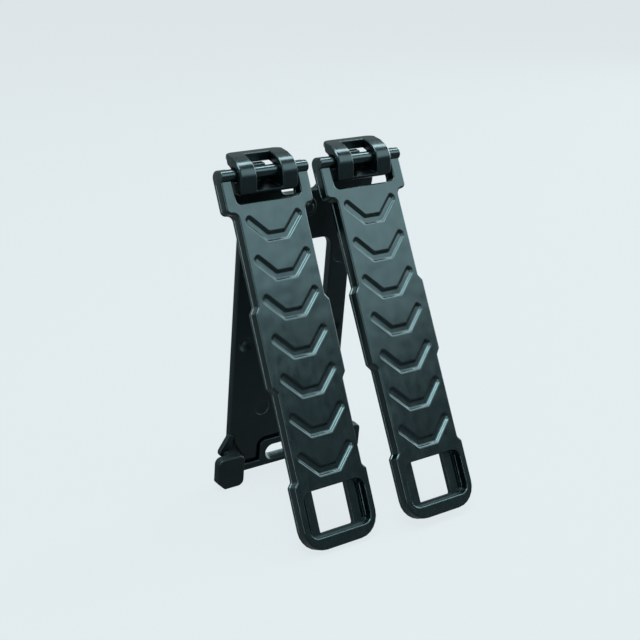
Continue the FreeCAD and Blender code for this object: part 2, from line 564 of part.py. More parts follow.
# ---------------------------------------------------------------- hinge hooks
def profile_prism(edges, x_low, x_high):
    """Extrude a closed YZ profile from x_low to x_high."""
    face = Part.Face(Part.Wire(Part.__sortEdges__(edges)))
    face.translate(Vector(x_low, 0, 0))
    return face.extrude(Vector(x_high - x_low, 0, 0))


def yz(y, z):
    """Point in the hook's side profile."""
    return Vector(0, y, z)


def hook_finger_edges():
    """Side profile of one hook finger: it runs under, ahead of and over the bar to a free nose."""
    mouth_upper = math.radians(27)
    mouth_lower = math.radians(-20)
    socket_upper = yz(SOCKET_RADIUS * math.cos(mouth_upper), SOCKET_RADIUS * math.sin(mouth_upper))
    socket_lower = yz(SOCKET_RADIUS * math.cos(mouth_lower), SOCKET_RADIUS * math.sin(mouth_lower))
    front_low = yz(-4.7, -4.3)
    front_high = yz(-4.25, -1.8)
    crown = yz(0.5, 4.4)
    top_front = yz(2.4, 4.95)
    top_back = yz(NOSE_BACK - NOSE_THICKNESS / 2, HOOK_TOP)
    nose_low = yz(NOSE_BACK - NOSE_THICKNESS / 2, HOOK_TOP - NOSE_THICKNESS)
    nose_root = yz(5.9, HOOK_TOP - NOSE_THICKNESS - 0.2)
    throat = yz(2.9, 1.5)
    return [
        Part.makeLine(yz(FRAME_GAP, -HOOK_ROOT_DOWN), HOOK_TOE),
        Part.Arc(HOOK_TOE, yz(-4.35, -5.35), front_low).toShape(),
        Part.makeLine(front_low, front_high),
        Part.Arc(front_high, yz(-2.8, 2.4), crown).toShape(),
        Part.makeLine(crown, top_front),
        Part.makeLine(top_front, top_back),
        Part.Arc(top_back, yz(NOSE_BACK, HOOK_TOP - NOSE_THICKNESS / 2), nose_low).toShape(),
        Part.makeLine(nose_low, nose_root),
        Part.Arc(nose_root, yz(4.4, 1.95), throat).toShape(),
        Part.makeLine(throat, socket_upper),
        Part.Arc(socket_upper, yz(-SOCKET_RADIUS, 0), socket_lower).toShape(),
        Part.makeLine(socket_lower, yz(FRAME_GAP, -TAB_TOP_DOWN)),
        Part.makeLine(yz(FRAME_GAP, -TAB_TOP_DOWN), yz(FRAME_GAP, -HOOK_ROOT_DOWN)),
    ]


def hook_floor_edges():
    """Side profile of the web that joins the two fingers below the bar."""
    floor_front = yz(-4.6, -HOOK_FLOOR_DOWN)
    floor_back = yz(FRAME_GAP, -HOOK_FLOOR_DOWN)
    root = yz(FRAME_GAP, -HOOK_ROOT_DOWN)
    return [
        Part.makeLine(root, HOOK_TOE),
        Part.Arc(HOOK_TOE, yz(-4.3, -5.35), floor_front).toShape(),
        Part.makeLine(floor_front, floor_back),
        Part.makeLine(floor_back, root),
    ]


def nose_corner_cutter():
    """Solid that rounds the nose's free corner on the right-hand side."""
    straight_x = HOOK_OUTER - NOSE_CORNER_RADIUS
    straight_y = NOSE_BACK - NOSE_CORNER_RADIUS
    bottom = SOCKET_RADIUS
    block = centred_box(straight_x, HOOK_OUTER + PAST, straight_y, NOSE_BACK + PAST, bottom, HOOK_TOP + PAST)
    return block.cut(Part.makeCylinder(NOSE_CORNER_RADIUS, 2 * HOOK_TOP, Vector(straight_x, straight_y, 0)))


def spring_tongue():
    """Tongue behind the bar that keeps it in the hook."""
    reach = BAR_RADIUS + TONGUE_CLEARANCE
    tongue = centred_box(-TONGUE_HALF_WIDTH, TONGUE_HALF_WIDTH, reach, FRAME_GAP, -HOOK_FLOOR_DOWN, TONGUE_TOP)
    upright = [edge for edge in tongue.Edges if edge.BoundBox.XLength > TONGUE_HALF_WIDTH
               and abs(edge.BoundBox.ZMax - TONGUE_TOP) < 1e-4]
    return tongue.makeFillet(HOOK_EDGE_RADIUS, upright)


def hinge_hook():
    """Hook pair for one strap: two fingers, the floor and nose that join them, and a tongue."""
    finger = profile_prism(hook_finger_edges(), HOOK_INNER, HOOK_OUTER)
    floor = profile_prism(hook_floor_edges(), -HOOK_INNER, HOOK_INNER)
    whole = profile_prism(hook_finger_edges(), -HOOK_INNER, HOOK_INNER)
    bridge = whole.common(centred_box(-HOOK_INNER, HOOK_INNER, BRIDGE_FRONT, NOSE_BACK + PAST,
                                      SOCKET_RADIUS, HOOK_TOP + PAST))
    hook = finger.fuse([mirror_x(finger), floor, bridge, spring_tongue()])
    cutter = nose_corner_cutter()
    return hook.cut([cutter, mirror_x(cutter)]).removeSplitter()


# ---------------------------------------------------------------- assembly
def place(shape, lean, x=0.0):
    """Swing a hanging piece about the hinge line by lean degrees and move it to its place."""
    swing = Placement(Vector(x, HINGE_Y, HINGE_HEIGHT), Rotation(Vector(1, 0, 0), lean))
    placed = shape.copy()
    placed.Placement = swing.multiply(placed.Placement)
    return placed


def build_nodes():
    """Return every named node in its place in the assembly."""
    strap = strap_body()
    bar = hinge_bar()
    hook = hinge_hook()
    right_latch = latch()
    return {
        "back_frame": place(frame_plate(), FRAME_LEAN),
        "hinge_hook_left": place(hook, FRAME_LEAN, -HINGE_OFFSET),
        "hinge_hook_right": place(hook, FRAME_LEAN, HINGE_OFFSET),
        "latch_left": place(mirror_x(right_latch), FRAME_LEAN),
        "latch_right": place(right_latch, FRAME_LEAN),
        "strap_left": place(strap, -LEFT_STRAP_LEAN, -HINGE_OFFSET),
        "strap_right": place(strap, -RIGHT_STRAP_LEAN, HINGE_OFFSET),
        "hinge_bar_left": place(bar, -LEFT_STRAP_LEAN, -HINGE_OFFSET),
        "hinge_bar_right": place(bar, -RIGHT_STRAP_LEAN, HINGE_OFFSET),
    }


def main():
    """Write one STEP file for each node."""
    os.makedirs("parts", exist_ok=True)
    for name, shape in build_nodes().items():
        shape.exportStep(f"parts/{name}.step")
        box = shape.BoundBox
        print(f"{name}: {len(shape.Solids)} solid, {shape.Volume / 1000:.2f} cm3, valid {shape.isValid()}, "
              f"X {box.XMin:.1f}..{box.XMax:.1f}  Y {box.YMin:.1f}..{box.YMax:.1f}  "
              f"Z {box.ZMin:.2f}..{box.ZMax:.2f}")


main()
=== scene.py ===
"""Looks of a hinged two-strap mount for ladder webbing, dressed on its packed construction model.

Lengths are millimetres in each piece's own hanging frame, apart from the lamps and the floor, which
are in metres. x runs along the hinge line, y towards the back and z up, with the hinge line at the
origin. Each piece is swung and moved to its place in the row frame when its mesh is finished.
"""

import json
import logging
import math
from dataclasses import dataclass, field
from enum import Enum
from typing import Iterable, Sequence

import bmesh
import bpy
from mathutils import Matrix, Vector
from mathutils.geometry import delaunay_2d_cdt

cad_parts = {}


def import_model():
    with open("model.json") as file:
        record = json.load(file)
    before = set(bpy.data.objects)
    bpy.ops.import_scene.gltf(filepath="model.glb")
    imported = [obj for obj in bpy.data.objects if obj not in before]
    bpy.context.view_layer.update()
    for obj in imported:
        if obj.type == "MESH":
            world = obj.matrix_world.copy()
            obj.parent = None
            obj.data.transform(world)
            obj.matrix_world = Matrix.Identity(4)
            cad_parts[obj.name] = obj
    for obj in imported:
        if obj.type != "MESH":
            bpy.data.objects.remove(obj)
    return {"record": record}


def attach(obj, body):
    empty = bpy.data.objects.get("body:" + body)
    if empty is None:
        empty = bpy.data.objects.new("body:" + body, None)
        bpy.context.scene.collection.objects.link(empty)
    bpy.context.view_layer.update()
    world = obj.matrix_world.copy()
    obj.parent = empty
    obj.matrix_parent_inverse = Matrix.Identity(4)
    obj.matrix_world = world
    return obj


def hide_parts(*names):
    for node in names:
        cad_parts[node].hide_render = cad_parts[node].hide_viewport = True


LOG = logging.getLogger("webbing_mount")
MM = 0.001
RIM_FACETS = 3
ALONG_HINGE = Matrix.Rotation(math.radians(-90), 4, "Z")
Point = tuple[float, float]
Colour = tuple[float, float, float, float]


class Side(Enum):
    """Which half of the mount a piece belongs to; the value is the sign of its x."""

    LEFT = -1
    RIGHT = 1

    @property
    def word(self) -> str:
        """Name used in node and object names."""
        return self.name.lower()


class Slot(Enum):
    """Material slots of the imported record."""

    FRAME = "frame"
    HOOK = "hook"
    LATCH = "latch"
    STRAP = "strap"
    BAR = "bar"


# ------------------------------------------------------------------ outlines and meshes
@dataclass(frozen=True)
class Corner:
    """One corner of a flat outline and the radius that rounds it."""

    x: float
    z: float
    radius: float = 0.0


@dataclass(frozen=True)
class Station:
    """One ring of a wall: how far it is set into the outline and where it lies in y."""

    inset: float
    y: float


@dataclass(frozen=True)
class Loop:
    """Closed loop of points in a plane of constant y."""

    y: float
    points: Sequence[Point]


class Outline:
    """Closed outline in the xz plane that can be offset without changing its number of points."""

    straight_degrees = 2.0
    least_radius = 0.03
    least_spread = 0.05

    def __init__(self, corners: Sequence[Corner], degrees_per_point: float = 15.0) -> None:
        """Keep the corners counter-clockwise.

        Args:
            corners: the outline's corners in order, either way round.
            degrees_per_point: how much of an arc each point of a rounded corner covers.
        """
        area = 0.0
        for here, after in zip(corners, list(corners[1:]) + [corners[0]]):
            area += here.x * after.z - after.x * here.z
        self.corners = list(corners) if area > 0 else list(reversed(corners))
        self.degrees_per_point = degrees_per_point

    @staticmethod
    def mirrored(right_half: Sequence[Corner], degrees_per_point: float = 15.0) -> "Outline":
        """Complete an outline from its right half.

        Args:
            right_half: corners of the right half, from the top centre down.
            degrees_per_point: how much of an arc each point covers.

        Returns:
            The symmetric outline.
        """
        left = [Corner(-c.x, c.z, c.radius) for c in reversed(right_half)]
        return Outline(list(right_half) + left, degrees_per_point)

    @staticmethod
    def circle(x: float, z: float, radius: float, points: int = 32) -> "Outline":
        """Round outline.

        Args:
            x: centre.
            z: centre.
            radius: radius.
            points: number of points.

        Returns:
            The outline.
        """
        turn = 2 * math.pi / points
        return Outline([Corner(x + radius * math.cos(i * turn), z + radius * math.sin(i * turn))
                        for i in range(points)])

    @staticmethod
    def rectangle(half_width: float, top: float, bottom: float, radius: float) -> "Outline":
        """Upright rectangle centred on x = 0.

        Args:
            half_width: half of its width.
            top: z of the upper side.
            bottom: z of the lower side.
            radius: corner radius.

        Returns:
            The outline.
        """
        return Outline.mirrored([Corner(half_width, top, radius), Corner(half_width, bottom, radius)])

    def _offset_corner(self, index: int, inset: float) -> tuple[Vector, Vector, Vector]:
        """Offset one corner.

        Args:
            index: which corner.
            inset: distance towards the inside.

        Returns:
            The moved corner and the directions of the edges before and after it.
        """
        count = len(self.corners)
        before, here, after = (self.corners[(index + k) % count] for k in (-1, 0, 1))
        into = Vector((here.x - before.x, here.z - before.z)).normalized()
        out = Vector((after.x - here.x, after.z - here.z)).normalized()
        normal_into, normal_out = Vector((-into.y, into.x)), Vector((-out.y, out.x))
        bisector = normal_into + normal_out
        spread = max(bisector.dot(normal_into), self.least_spread)
        moved = Vector((here.x, here.z)) + bisector * (inset / spread)
        return moved, into, out

    def uneven_ring(self, insets: Sequence[float]) -> list[Point]:
        """Corners of the outline, each moved inward by its own distance.

        Args:
            insets: one distance for each corner.

        Returns:
            One point for each corner.
        """
        moved = (self._offset_corner(index, inset)[0] for index, inset in enumerate(insets))
        return [(point.x, point.y) for point in moved]

    def ring(self, inset: float = 0.0) -> list[Point]:
        """Points of the outline offset inward.

        Args:
            inset: distance towards the inside; negative goes outward.

        Returns:
            Points in order, always the same number for one outline.
        """
        points: list[Point] = []
        for index, corner in enumerate(self.corners):
            moved, into, out = self._offset_corner(index, inset)
            turn = math.atan2(into.x * out.y - into.y * out.x, into.dot(out))
            if corner.radius <= 0 or abs(turn) < math.radians(self.straight_degrees):
                points.append((moved.x, moved.y))
                continue
            side = math.copysign(1.0, turn)
            radius = max(corner.radius - inset * side, self.least_radius)
            reach = radius * math.tan(abs(turn) / 2)
            steps = max(2, math.ceil(math.degrees(abs(turn)) / self.degrees_per_point))
            start = moved - into * reach
            centre = start + Vector((-into.y, into.x)) * (radius * side)
            arm = start - centre
            for step in range(steps + 1):
                angle = turn * step / steps
                points.append((centre.x + arm.x * math.cos(angle) - arm.y * math.sin(angle),
                               centre.y + arm.x * math.sin(angle) + arm.y * math.cos(angle)))
        return points


class Moulding:
    """Collects the walls and flat faces of one moulded piece and turns them into a mesh."""

    weld_distance = 1e-4
    shortest_edge = 1e-5
    fill_tolerance = 1e-7
    fill_between_edges = 1

    def __init__(self, name: str) -> None:
        """Start an empty piece.

        Args:
            name: the name of the object that it becomes.
        """
        self.name = name
        self.mesh = bmesh.new()
        self.flat = self.mesh.faces.layers.int.new("flat")

    def wall(self, outline: Outline, stations: Sequence[Station], cap_end: bool = False) -> None:
        """Skin a wall through rings of one outline.

        Args:
            outline: the outline that the rings follow.
            stations: the rings in order.
            cap_end: whether the last ring is closed with a flat face.
        """
        self.skin([Loop(station.y, outline.ring(station.inset)) for station in stations])
        if cap_end:
            self.sheet(stations[-1].y, outline.ring(stations[-1].inset))

    def slab(self, outline: Outline, front: float, back: float, front_edge: float, back_edge: float) -> None:
        """Closed plate or round bar with rounded edges.

        Args:
            outline: its outline.
            front: plane of its front.
            back: plane of its back.
            front_edge: radius of the edge around the front.
            back_edge: radius of the edge around the back.
        """
        self.wall(outline, rounded_rim(front, front_edge) + closing_rim(back, back_edge))
        self.sheet(front, outline.ring(front_edge))
        self.sheet(back, outline.ring(back_edge))

    def skin(self, loops: Sequence[Loop], spans: Sequence[int] | None = None) -> None:
        """Join neighbouring loops that have the same number of points.

        Args:
            loops: the loops in order.
            spans: which stretches of each loop are joined, all of them when it isn't given.
        """
        rings = [[self.mesh.verts.new((x, loop.y, z)) for x, z in loop.points] for loop in loops]
        count = len(rings[0])
        for lower, upper in zip(rings, rings[1:]):
            for i in range(count) if spans is None else spans:
                j = (i + 1) % count
                self.mesh.faces.new((lower[i], lower[j], upper[j], upper[i]))

    def sheet(self, y: float, outer: Sequence[Point], holes: Iterable[Sequence[Point]] = ()) -> None:
        """Fill a flat face, leaving its holes open.

        Args:
            y: the plane of the face.
            outer: its outer loop.
            holes: the loops that stay open.
        """
        points: list[Vector] = []
        edges: list[tuple[int, int]] = []
        loops = [list(outer)] + [list(hole) for hole in holes]
        for loop in loops:
            first = len(points)
            points.extend(Vector(p) for p in loop)
            edges.extend((first + i, first + (i + 1) % len(loop)) for i in range(len(loop)))
        found, _, triangles, *_ = delaunay_2d_cdt(points, edges, [], self.fill_between_edges,
                                                  self.fill_tolerance)
        verts = [self.mesh.verts.new((p.x, y, p.y)) for p in found]
        for triangle in triangles:
            middle = sum((found[i] for i in triangle), Vector((0.0, 0.0))) / len(triangle)
            if not inside(middle, loops[0]) or any(inside(middle, hole) for hole in loops[1:]):
                continue
            face = self.mesh.faces.new([verts[i] for i in triangle])
            face[self.flat] = 1

    def build(self, place: Matrix, material: bpy.types.Material,
              crease_degrees: float = 40.0) -> bpy.types.Object:
        """Weld the piece, shade it and add it to the scene.

        Args:
            place: moves the piece, in millimetres, from its own frame into the row frame.
            material: its finish.
            crease_degrees: faces that meet at more than this stay sharp.

        Returns:
            The new object.
        """
        bmesh.ops.remove_doubles(self.mesh, verts=self.mesh.verts, dist=self.weld_distance)
        bmesh.ops.dissolve_degenerate(self.mesh, dist=self.shortest_edge, edges=self.mesh.edges)
        bmesh.ops.recalc_face_normals(self.mesh, faces=self.mesh.faces)
        data = bpy.data.meshes.new(self.name)
        normals = soft_normals(self.mesh, self.flat, crease_degrees)
        self.mesh.to_mesh(data)
        self.mesh.free()
        data.shade_smooth()
        data.normals_split_custom_set(normals)
        data.transform(Matrix.Scale(MM, 4) @ place)
        data.materials.append(material)
        piece = new_object(self.name, data)
        LOG.info("%s: %d faces", self.name, len(data.polygons))
        return piece


def new_object(name: str, data: bpy.types.ID) -> bpy.types.Object:
    """Put a mesh, lamp or camera into the scene.

    Args:
        name: the object's name.
        data: what it shows.

    Returns:
        The new object.
    """
    made = bpy.data.objects.new(name, data)
    bpy.context.scene.collection.objects.link(made)
    return made


def direction(azimuth: float, elevation: float) -> Vector:
    """Unit vector that points from the part to a light or the camera.

    Args:
        azimuth: degrees from the front, positive towards +x.
        elevation: degrees above level.

    Returns:
        The vector.
    """
    turn, rise = math.radians(azimuth), math.radians(elevation)
    return Vector((math.sin(turn) * math.cos(rise), -math.cos(turn) * math.cos(rise), math.sin(rise)))


def inside(point: Vector, loop: Sequence[Point]) -> bool:
    """Whether a point lies inside a loop.

    Args:
        point: the point.
        loop: the loop's points.

    Returns:
        True when it does.
    """
    found = False
    for (ax, az), (bx, bz) in zip(loop, list(loop[1:]) + [loop[0]]):
        crosses = (az > point.y) != (bz > point.y)
        if crosses and point.x < (bx - ax) * (point.y - az) / (bz - az) + ax:
            found = not found
    return found


def soft_normals(mesh: bmesh.types.BMesh, flat: bmesh.types.BMLayerItem,
                 crease_degrees: float) -> list[Vector]:
    """Corner normals that keep flat faces flat and let the rounded strips beside them flow into them.

    Args:
        mesh: the finished piece.
        flat: face layer that marks flat faces with 1.
        crease_degrees: faces that meet at more than this don't share a normal.

    Returns:
        One normal for each face corner, in the mesh's own order.
    """
    limit = math.cos(math.radians(crease_degrees))
    flat_weight, no_length = 1000.0, 1e-12
    normals: list[Vector] = []
    mesh.verts.ensure_lookup_table()
    mesh.faces.ensure_lookup_table()
    for face in mesh.faces:
        for loop in face.loops:
            if face[flat]:
                normals.append(face.normal.copy())
                continue
            total = Vector((0.0, 0.0, 0.0))
            for other in loop.vert.link_faces:
                if other.normal.dot(face.normal) > limit:
                    weight = other.calc_area() * (flat_weight if other[flat] else 1.0)
                    total += other.normal * weight
            normals.append(total.normalized() if total.length > no_length else face.normal.copy())
    return normals


def hanging_place(hinge: Vector, lean_degrees: float) -> Matrix:
    """Matrix that swings a hanging piece about the hinge line and moves it to its place.

    Args:
        hinge: a point of the hinge line at the piece's middle, in metres.
        lean_degrees: the swing about +X.

    Returns:
        The matrix, in millimetres.
    """
    return Matrix.Translation(hinge / MM) @ Matrix.Rotation(math.radians(lean_degrees), 4, "X")


def rounded_rim(y: float, radius: float, towards: float = 1.0, sign: float = 1.0) -> list[Station]:
    """Stations of a quarter-round edge, from the flat face to the full outline.

    Args:
        y: plane of the flat face.
        radius: radius of the edge.
        towards: +1 when the wall runs towards +y, -1 when it runs towards -y.
        sign: +1 for an outer edge, -1 for the rim of an opening.

    Returns:
        The stations.
    """
    rim = []
    for step in range(RIM_FACETS + 1):
        angle = math.pi / 2 * step / RIM_FACETS
        rim.append(Station(sign * radius * (1 - math.sin(angle)),
                           y + towards * radius * (1 - math.cos(angle))))
    return rim


def closing_rim(y: float, radius: float, sign: float = 1.0) -> list[Station]:
    """Stations of the quarter-round edge that ends a wall at its rear face.

    Args:
        y: plane of the rear face.
        radius: radius of the edge.
        sign: +1 for an outer edge, -1 for the rim of an opening.

    Returns:
        The stations, from the full outline to the flat face.
    """
    return list(reversed(rounded_rim(y, radius, -1.0, sign)))


def opening_wall(front: float, back: float, rim: float) -> list[Station]:
    """Stations of a straight opening with rounded rims.

    Args:
        front: plane where it starts.
        back: plane where it ends.
        rim: radius of both rims.

    Returns:
        The stations, front first.
    """
    return rounded_rim(front, rim, sign=-1.0) + closing_rim(back, rim, sign=-1.0)


def arc(start: Point, middle: Point, end: Point, points: int) -> list[Point]:
    """Points on the circle through three points.

    Args:
        start: where the arc starts.
        middle: a point on the way.
        end: where it ends.
        points: how many points it has, both ends included.

    Returns:
        The points.
    """
    (ax, ay), (bx, by), (cx, cy) = start, middle, end
    twice = 2 * (ax * (by - cy) + bx * (cy - ay) + cx * (ay - by))
    a2, b2, c2 = ax * ax + ay * ay, bx * bx + by * by, cx * cx + cy * cy
    ux = (a2 * (by - cy) + b2 * (cy - ay) + c2 * (ay - by)) / twice
    uy = (a2 * (cx - bx) + b2 * (ax - cx) + c2 * (bx - ax)) / twice
    first = math.atan2(ay - uy, ax - ux)
    through = (math.atan2(by - uy, bx - ux) - first) % (2 * math.pi)
    last = (math.atan2(cy - uy, cx - ux) - first) % (2 * math.pi)
    sweep = last if through < last else last - 2 * math.pi
    radius = math.hypot(ax - ux, ay - uy)
    return [(ux + radius * math.cos(first + sweep * k / (points - 1)),
             uy + radius * math.sin(first + sweep * k / (points - 1))) for k in range(points)]


def hang(piece: bpy.types.Object, body: str) -> None:
    """Let a piece ride on a body.

    Args:
        piece: the piece.
        body: the body's name.
    """
    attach(piece, body)


# ------------------------------------------------------------------ where the pieces hang
@dataclass(frozen=True)
class Stance:
    """Where the hinge line is and how far each moulding leans."""

    hinge: Vector
    strap_pitch: float
    left_strap_lean: float = 21.7
    right_strap_lean: float = 23.7
    frame_lean: float = 7.5

    @staticmethod
    def of(record: dict) -> "Stance":
        """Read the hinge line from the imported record.

        Args:
            record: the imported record.

        Returns:
            The stance.
        """
        ends = {joint["name"]: Vector(joint["pos_m"]) for joint in record["behaviour"]["joints"]}
        left, right = ends["strap_left_hinge"], ends["strap_right_hinge"]
        return Stance(hinge=(left + right) / 2, strap_pitch=(right.x - left.x) / MM)

    def strap_place(self, side: Side) -> Matrix:
        """Matrix that places a strap.

        Args:
            side: which strap.

        Returns:
            The matrix.
        """
        lean = self.left_strap_lean if side is Side.LEFT else self.right_strap_lean
        middle = self.hinge + Vector((side.value * self.strap_pitch * MM / 2, 0, 0))
        return hanging_place(middle, -lean)

    def frame_place(self, x: float = 0.0) -> Matrix:
        """Matrix that places a piece of the back frame.

        Args:
            x: offset along the hinge line, in millimetres.

        Returns:
            The matrix.
        """
        return hanging_place(self.hinge + Vector((x * MM, 0, 0)), self.frame_lean)


# ------------------------------------------------------------------ pieces
@dataclass(frozen=True)
class Chevron:
    """Sunk chevron of the strap's grip."""

    bottom_half_width: float = 4.0
    arm_half_width: float = 10.65
    band: float = 3.25
    inner_half_width: float = 2.9
    tip_inset: float = 1.5
    tip_cut: float = 1.3
    depth: float = 0.9
    wall_run: float = 0.65
    rim: float = 0.38
    foot: float = 0.4
    bend_steps: int = 4
    notch_radius: float = 0.5
    arm_inner_radius: float = 1.1
    arm_outer_radius: float = 0.9
    arm_foot_radius: float = 0.7
    degrees_per_point: float = 20.0

    def outline(self, down: float) -> Outline:
        """Mouth of the chevron.

        Args:
            down: how far its lower edge lies below the hinge line.

        Returns:
            The outline.
        """
        tip_down = down - (self.arm_half_width - self.bottom_half_width)
        inner_x = self.arm_half_width - self.tip_inset
        inner_down = down - self.band - (inner_x - self.inner_half_width)
        return Outline.mirrored([
            Corner(self.inner_half_width, -(down - self.band), self.notch_radius),
            Corner(inner_x, -inner_down, self.arm_inner_radius),
            Corner(self.arm_half_width, -(tip_down - self.tip_cut), self.arm_outer_radius),
            Corner(self.arm_half_width, -tip_down, self.arm_foot_radius),
            Corner(self.bottom_half_width, -down, self.notch_radius),
        ], self.degrees_per_point)

    def wall(self, front: float) -> list[Station]:
        """Stations of the sunk wall, with a rounded rim and a rounded foot.

        Args:
            front: plane of the face that the chevron is sunk into.

        Returns:
            The stations.
        """
        slope = Vector((self.wall_run, self.depth)).normalized()
        mouth, floor = Vector((0.0, 0.0)), Vector((self.wall_run, self.depth))
        bends = ((mouth - Vector((self.rim, 0.0)), mouth, mouth + slope * self.rim),
                 (floor - slope * self.foot, floor, floor + Vector((self.foot, 0.0))))
        stations = []
        for start, bend, end in bends:
            for step in range(self.bend_steps + 1):
                share = step / self.bend_steps
                point = start * (1 - share) ** 2 + bend * (2 * share * (1 - share)) + end * share ** 2
                stations.append(Station(point.x, front + point.y))
        return stations


@dataclass(frozen=True)
class Strap:
    """Ribbed strap with an eared head and a stepped latch window at its tail."""

    side: Side
    length: float = 121.7
    thickness: float = 4.9
    face_ahead: float = 0.6
    head_half_width: float = 16.6
    head_depth: float = 12.2
    head_window_half_width: float = 12.3
    head_window_depth: float = 9.2
    head_window_radius: float = 1.5
    head_radius: float = 1.8
    neck_radius: float = 1.9
    narrow_half_width: float = 12.8
    wide_half_width: float = 14.3
    tail_half_width: float = 14.2
    upper_step: float = 42.1
    lower_step: float = 68.1
    tail_step: float = 98.5
    step_run: float = 2.0
    tail_step_run: float = 1.5
    step_radius: float = 0.8
    tail_radius: float = 7.5
    edge_radius: float = 0.7
    rim_band: float = 1.6
    rim_groove: float = 0.5
    rim_groove_depth: float = 0.25
    rim_groove_floor: float = 0.4
    lip: float = 0.1
    ear_gap: float = 0.01
    bar_radius: float = 2.0
    bar_end_edge: float = 0.35
    bar_end_gap: float = 0.05
    chevron: Chevron = field(default_factory=Chevron)
    chevron_count: int = 7
    chevron_pitch: float = 12.7
    first_chevron: float = 22.55
    window_half_width: float = 11.85
    window_top: float = 102.5
    window_bottom: float = 117.5
    window_radius: float = 3.0
    pocket_rim: float = 0.4
    pocket_depth: float = 2.9
    hole_half_width: float = 6.7
    hole_bottom: float = 116.6
    hole_radius: float = 0.6
    hole_rim: float = 0.25
    groove_inner: float = 9.9
    groove_wall: float = 0.15
    groove_depth: float = 4.0
    groove_margin: float = 1.2
    groove_inner_radius: float = 0.2
    groove_outer_radius: float = 0.8

    @property
    def front(self) -> float:
        """Plane of the ribbed face."""
        return -self.face_ahead

    @property
    def rear(self) -> float:
        """Plane of the back."""
        return self.thickness - self.face_ahead

    def outer(self) -> Outline:
        """Outline of the strap below the hinge line, with the head window as a notch."""
        return Outline.mirrored([
            Corner(self.head_window_half_width, -self.head_window_depth, self.head_window_radius),
            Corner(self.head_window_half_width, 0.0),
            Corner(self.head_half_width, 0.0),
            Corner(self.head_half_width, -self.head_depth, self.head_radius),
            Corner(self.narrow_half_width, -self.head_depth, self.neck_radius),
            Corner(self.narrow_half_width, -self.upper_step, self.step_radius),
            Corner(self.wide_half_width, -(self.upper_step + self.step_run), self.step_radius),
            Corner(self.wide_half_width, -self.lower_step, self.step_radius),
            Corner(self.narrow_half_width, -(self.lower_step + self.step_run), self.step_radius),
            Corner(self.narrow_half_width, -self.tail_step, self.step_radius),
            Corner(self.tail_half_width, -(self.tail_step + self.tail_step_run), self.step_radius),
            Corner(self.tail_half_width, -self.length, self.tail_radius),
        ])

    def pocket(self) -> Outline:
        """Front opening of the latch window."""
        return Outline.mirrored([
            Corner(self.hole_half_width, -self.window_top),
            Corner(self.window_half_width, -self.window_top, self.window_radius),
            Corner(self.window_half_width, -self.window_bottom, self.window_radius),
        ])

    def hole(self) -> Outline:
        """Hole through the latch window's floor."""
        return Outline.mirrored([
            Corner(self.hole_half_width, -self.window_top),
            Corner(self.hole_half_width, -self.hole_bottom, self.hole_radius),
        ])

    def groove(self, sign: int) -> Outline:
        """Groove in one ledge of the latch window.

        Args:
            sign: -1 for the left ledge, +1 for the right one.

        Returns:
            The outline.
        """
        near, far = sign * self.groove_inner, sign * (self.window_half_width - self.groove_wall)
        top, bottom = -(self.window_top + self.groove_margin), -(self.window_bottom - self.groove_margin)
        return Outline([
            Corner(near, top, self.groove_inner_radius),
            Corner(far, top, self.groove_outer_radius),
            Corner(far, bottom, self.groove_outer_radius),
            Corner(near, bottom, self.groove_inner_radius),
        ])

    def parting_groove(self) -> list[Station]:
        """Stations of the shallow groove along the flank, near the back.

        Returns:
            The stations, front first.
        """
        middle, half = self.rear - self.rim_band, self.rim_groove / 2
        slope = ((half + self.lip, 0.0), (half, self.lip / 2),
                 (half * self.rim_groove_floor, self.rim_groove_depth))
        return ([Station(inset, middle - away) for away, inset in slope]
                + [Station(inset, middle + away) for away, inset in reversed(slope)])

    def skin(self) -> Moulding:
        """Walls and faces of the strap without its bar.

        Returns:
            The piece, not yet built.
        """
        piece = Moulding(f"strap_{self.side.word}_body")
        outer, pocket, hole = self.outer(), self.pocket(), self.hole()
        ledge_y = self.front + self.pocket_depth
        piece.wall(outer, rounded_rim(self.front, self.edge_radius) + self.parting_groove()
                   + closing_rim(self.rear, self.edge_radius))
        mouths = []
        for index in range(self.chevron_count):
            mouth = self.chevron.outline(self.first_chevron + index * self.chevron_pitch)
            piece.wall(mouth, self.chevron.wall(self.front), cap_end=True)
            mouths.append(mouth.ring(-self.chevron.rim))
        piece.wall(pocket, rounded_rim(self.front, self.pocket_rim, sign=-1.0) + [Station(0.0, ledge_y)])
        piece.sheet(self.front, outer.ring(self.edge_radius), mouths + [pocket.ring(-self.pocket_rim)])
        grooves = [self.groove(sign) for sign in (-1, 1)]
        for groove in grooves:
            piece.wall(groove, [Station(-self.lip, ledge_y), Station(0.0, ledge_y + self.lip),
                                Station(0.0, self.front + self.groove_depth)], cap_end=True)
        piece.sheet(ledge_y, pocket.ring(), [hole.ring()] + [groove.ring(-self.lip) for groove in grooves])
        piece.wall(hole, [Station(0.0, ledge_y)] + closing_rim(self.rear, self.hole_rim, sign=-1.0))
        piece.sheet(self.rear, outer.ring(self.edge_radius), [hole.ring(-self.hole_rim)])
        return piece

    def ear_cap(self, sign: int) -> Moulding:
        """Rounded top of one ear, beside the head window.

        Args:
            sign: -1 for the left ear, +1 for the right one.

        Returns:
            The piece, not yet built, lying along y.
        """
        piece = Moulding(f"strap_{self.side.word}_ear_{Side(sign).word}")
        near, far = sorted((sign * (self.head_window_half_width + self.ear_gap),
                            sign * (self.head_half_width - self.ear_gap)))
        half = self.thickness / 2
        circle = Outline.circle(-(self.front + half), 0.0, half - self.ear_gap, points=40)
        piece.slab(circle, near, far, self.edge_radius, self.edge_radius)
        return piece

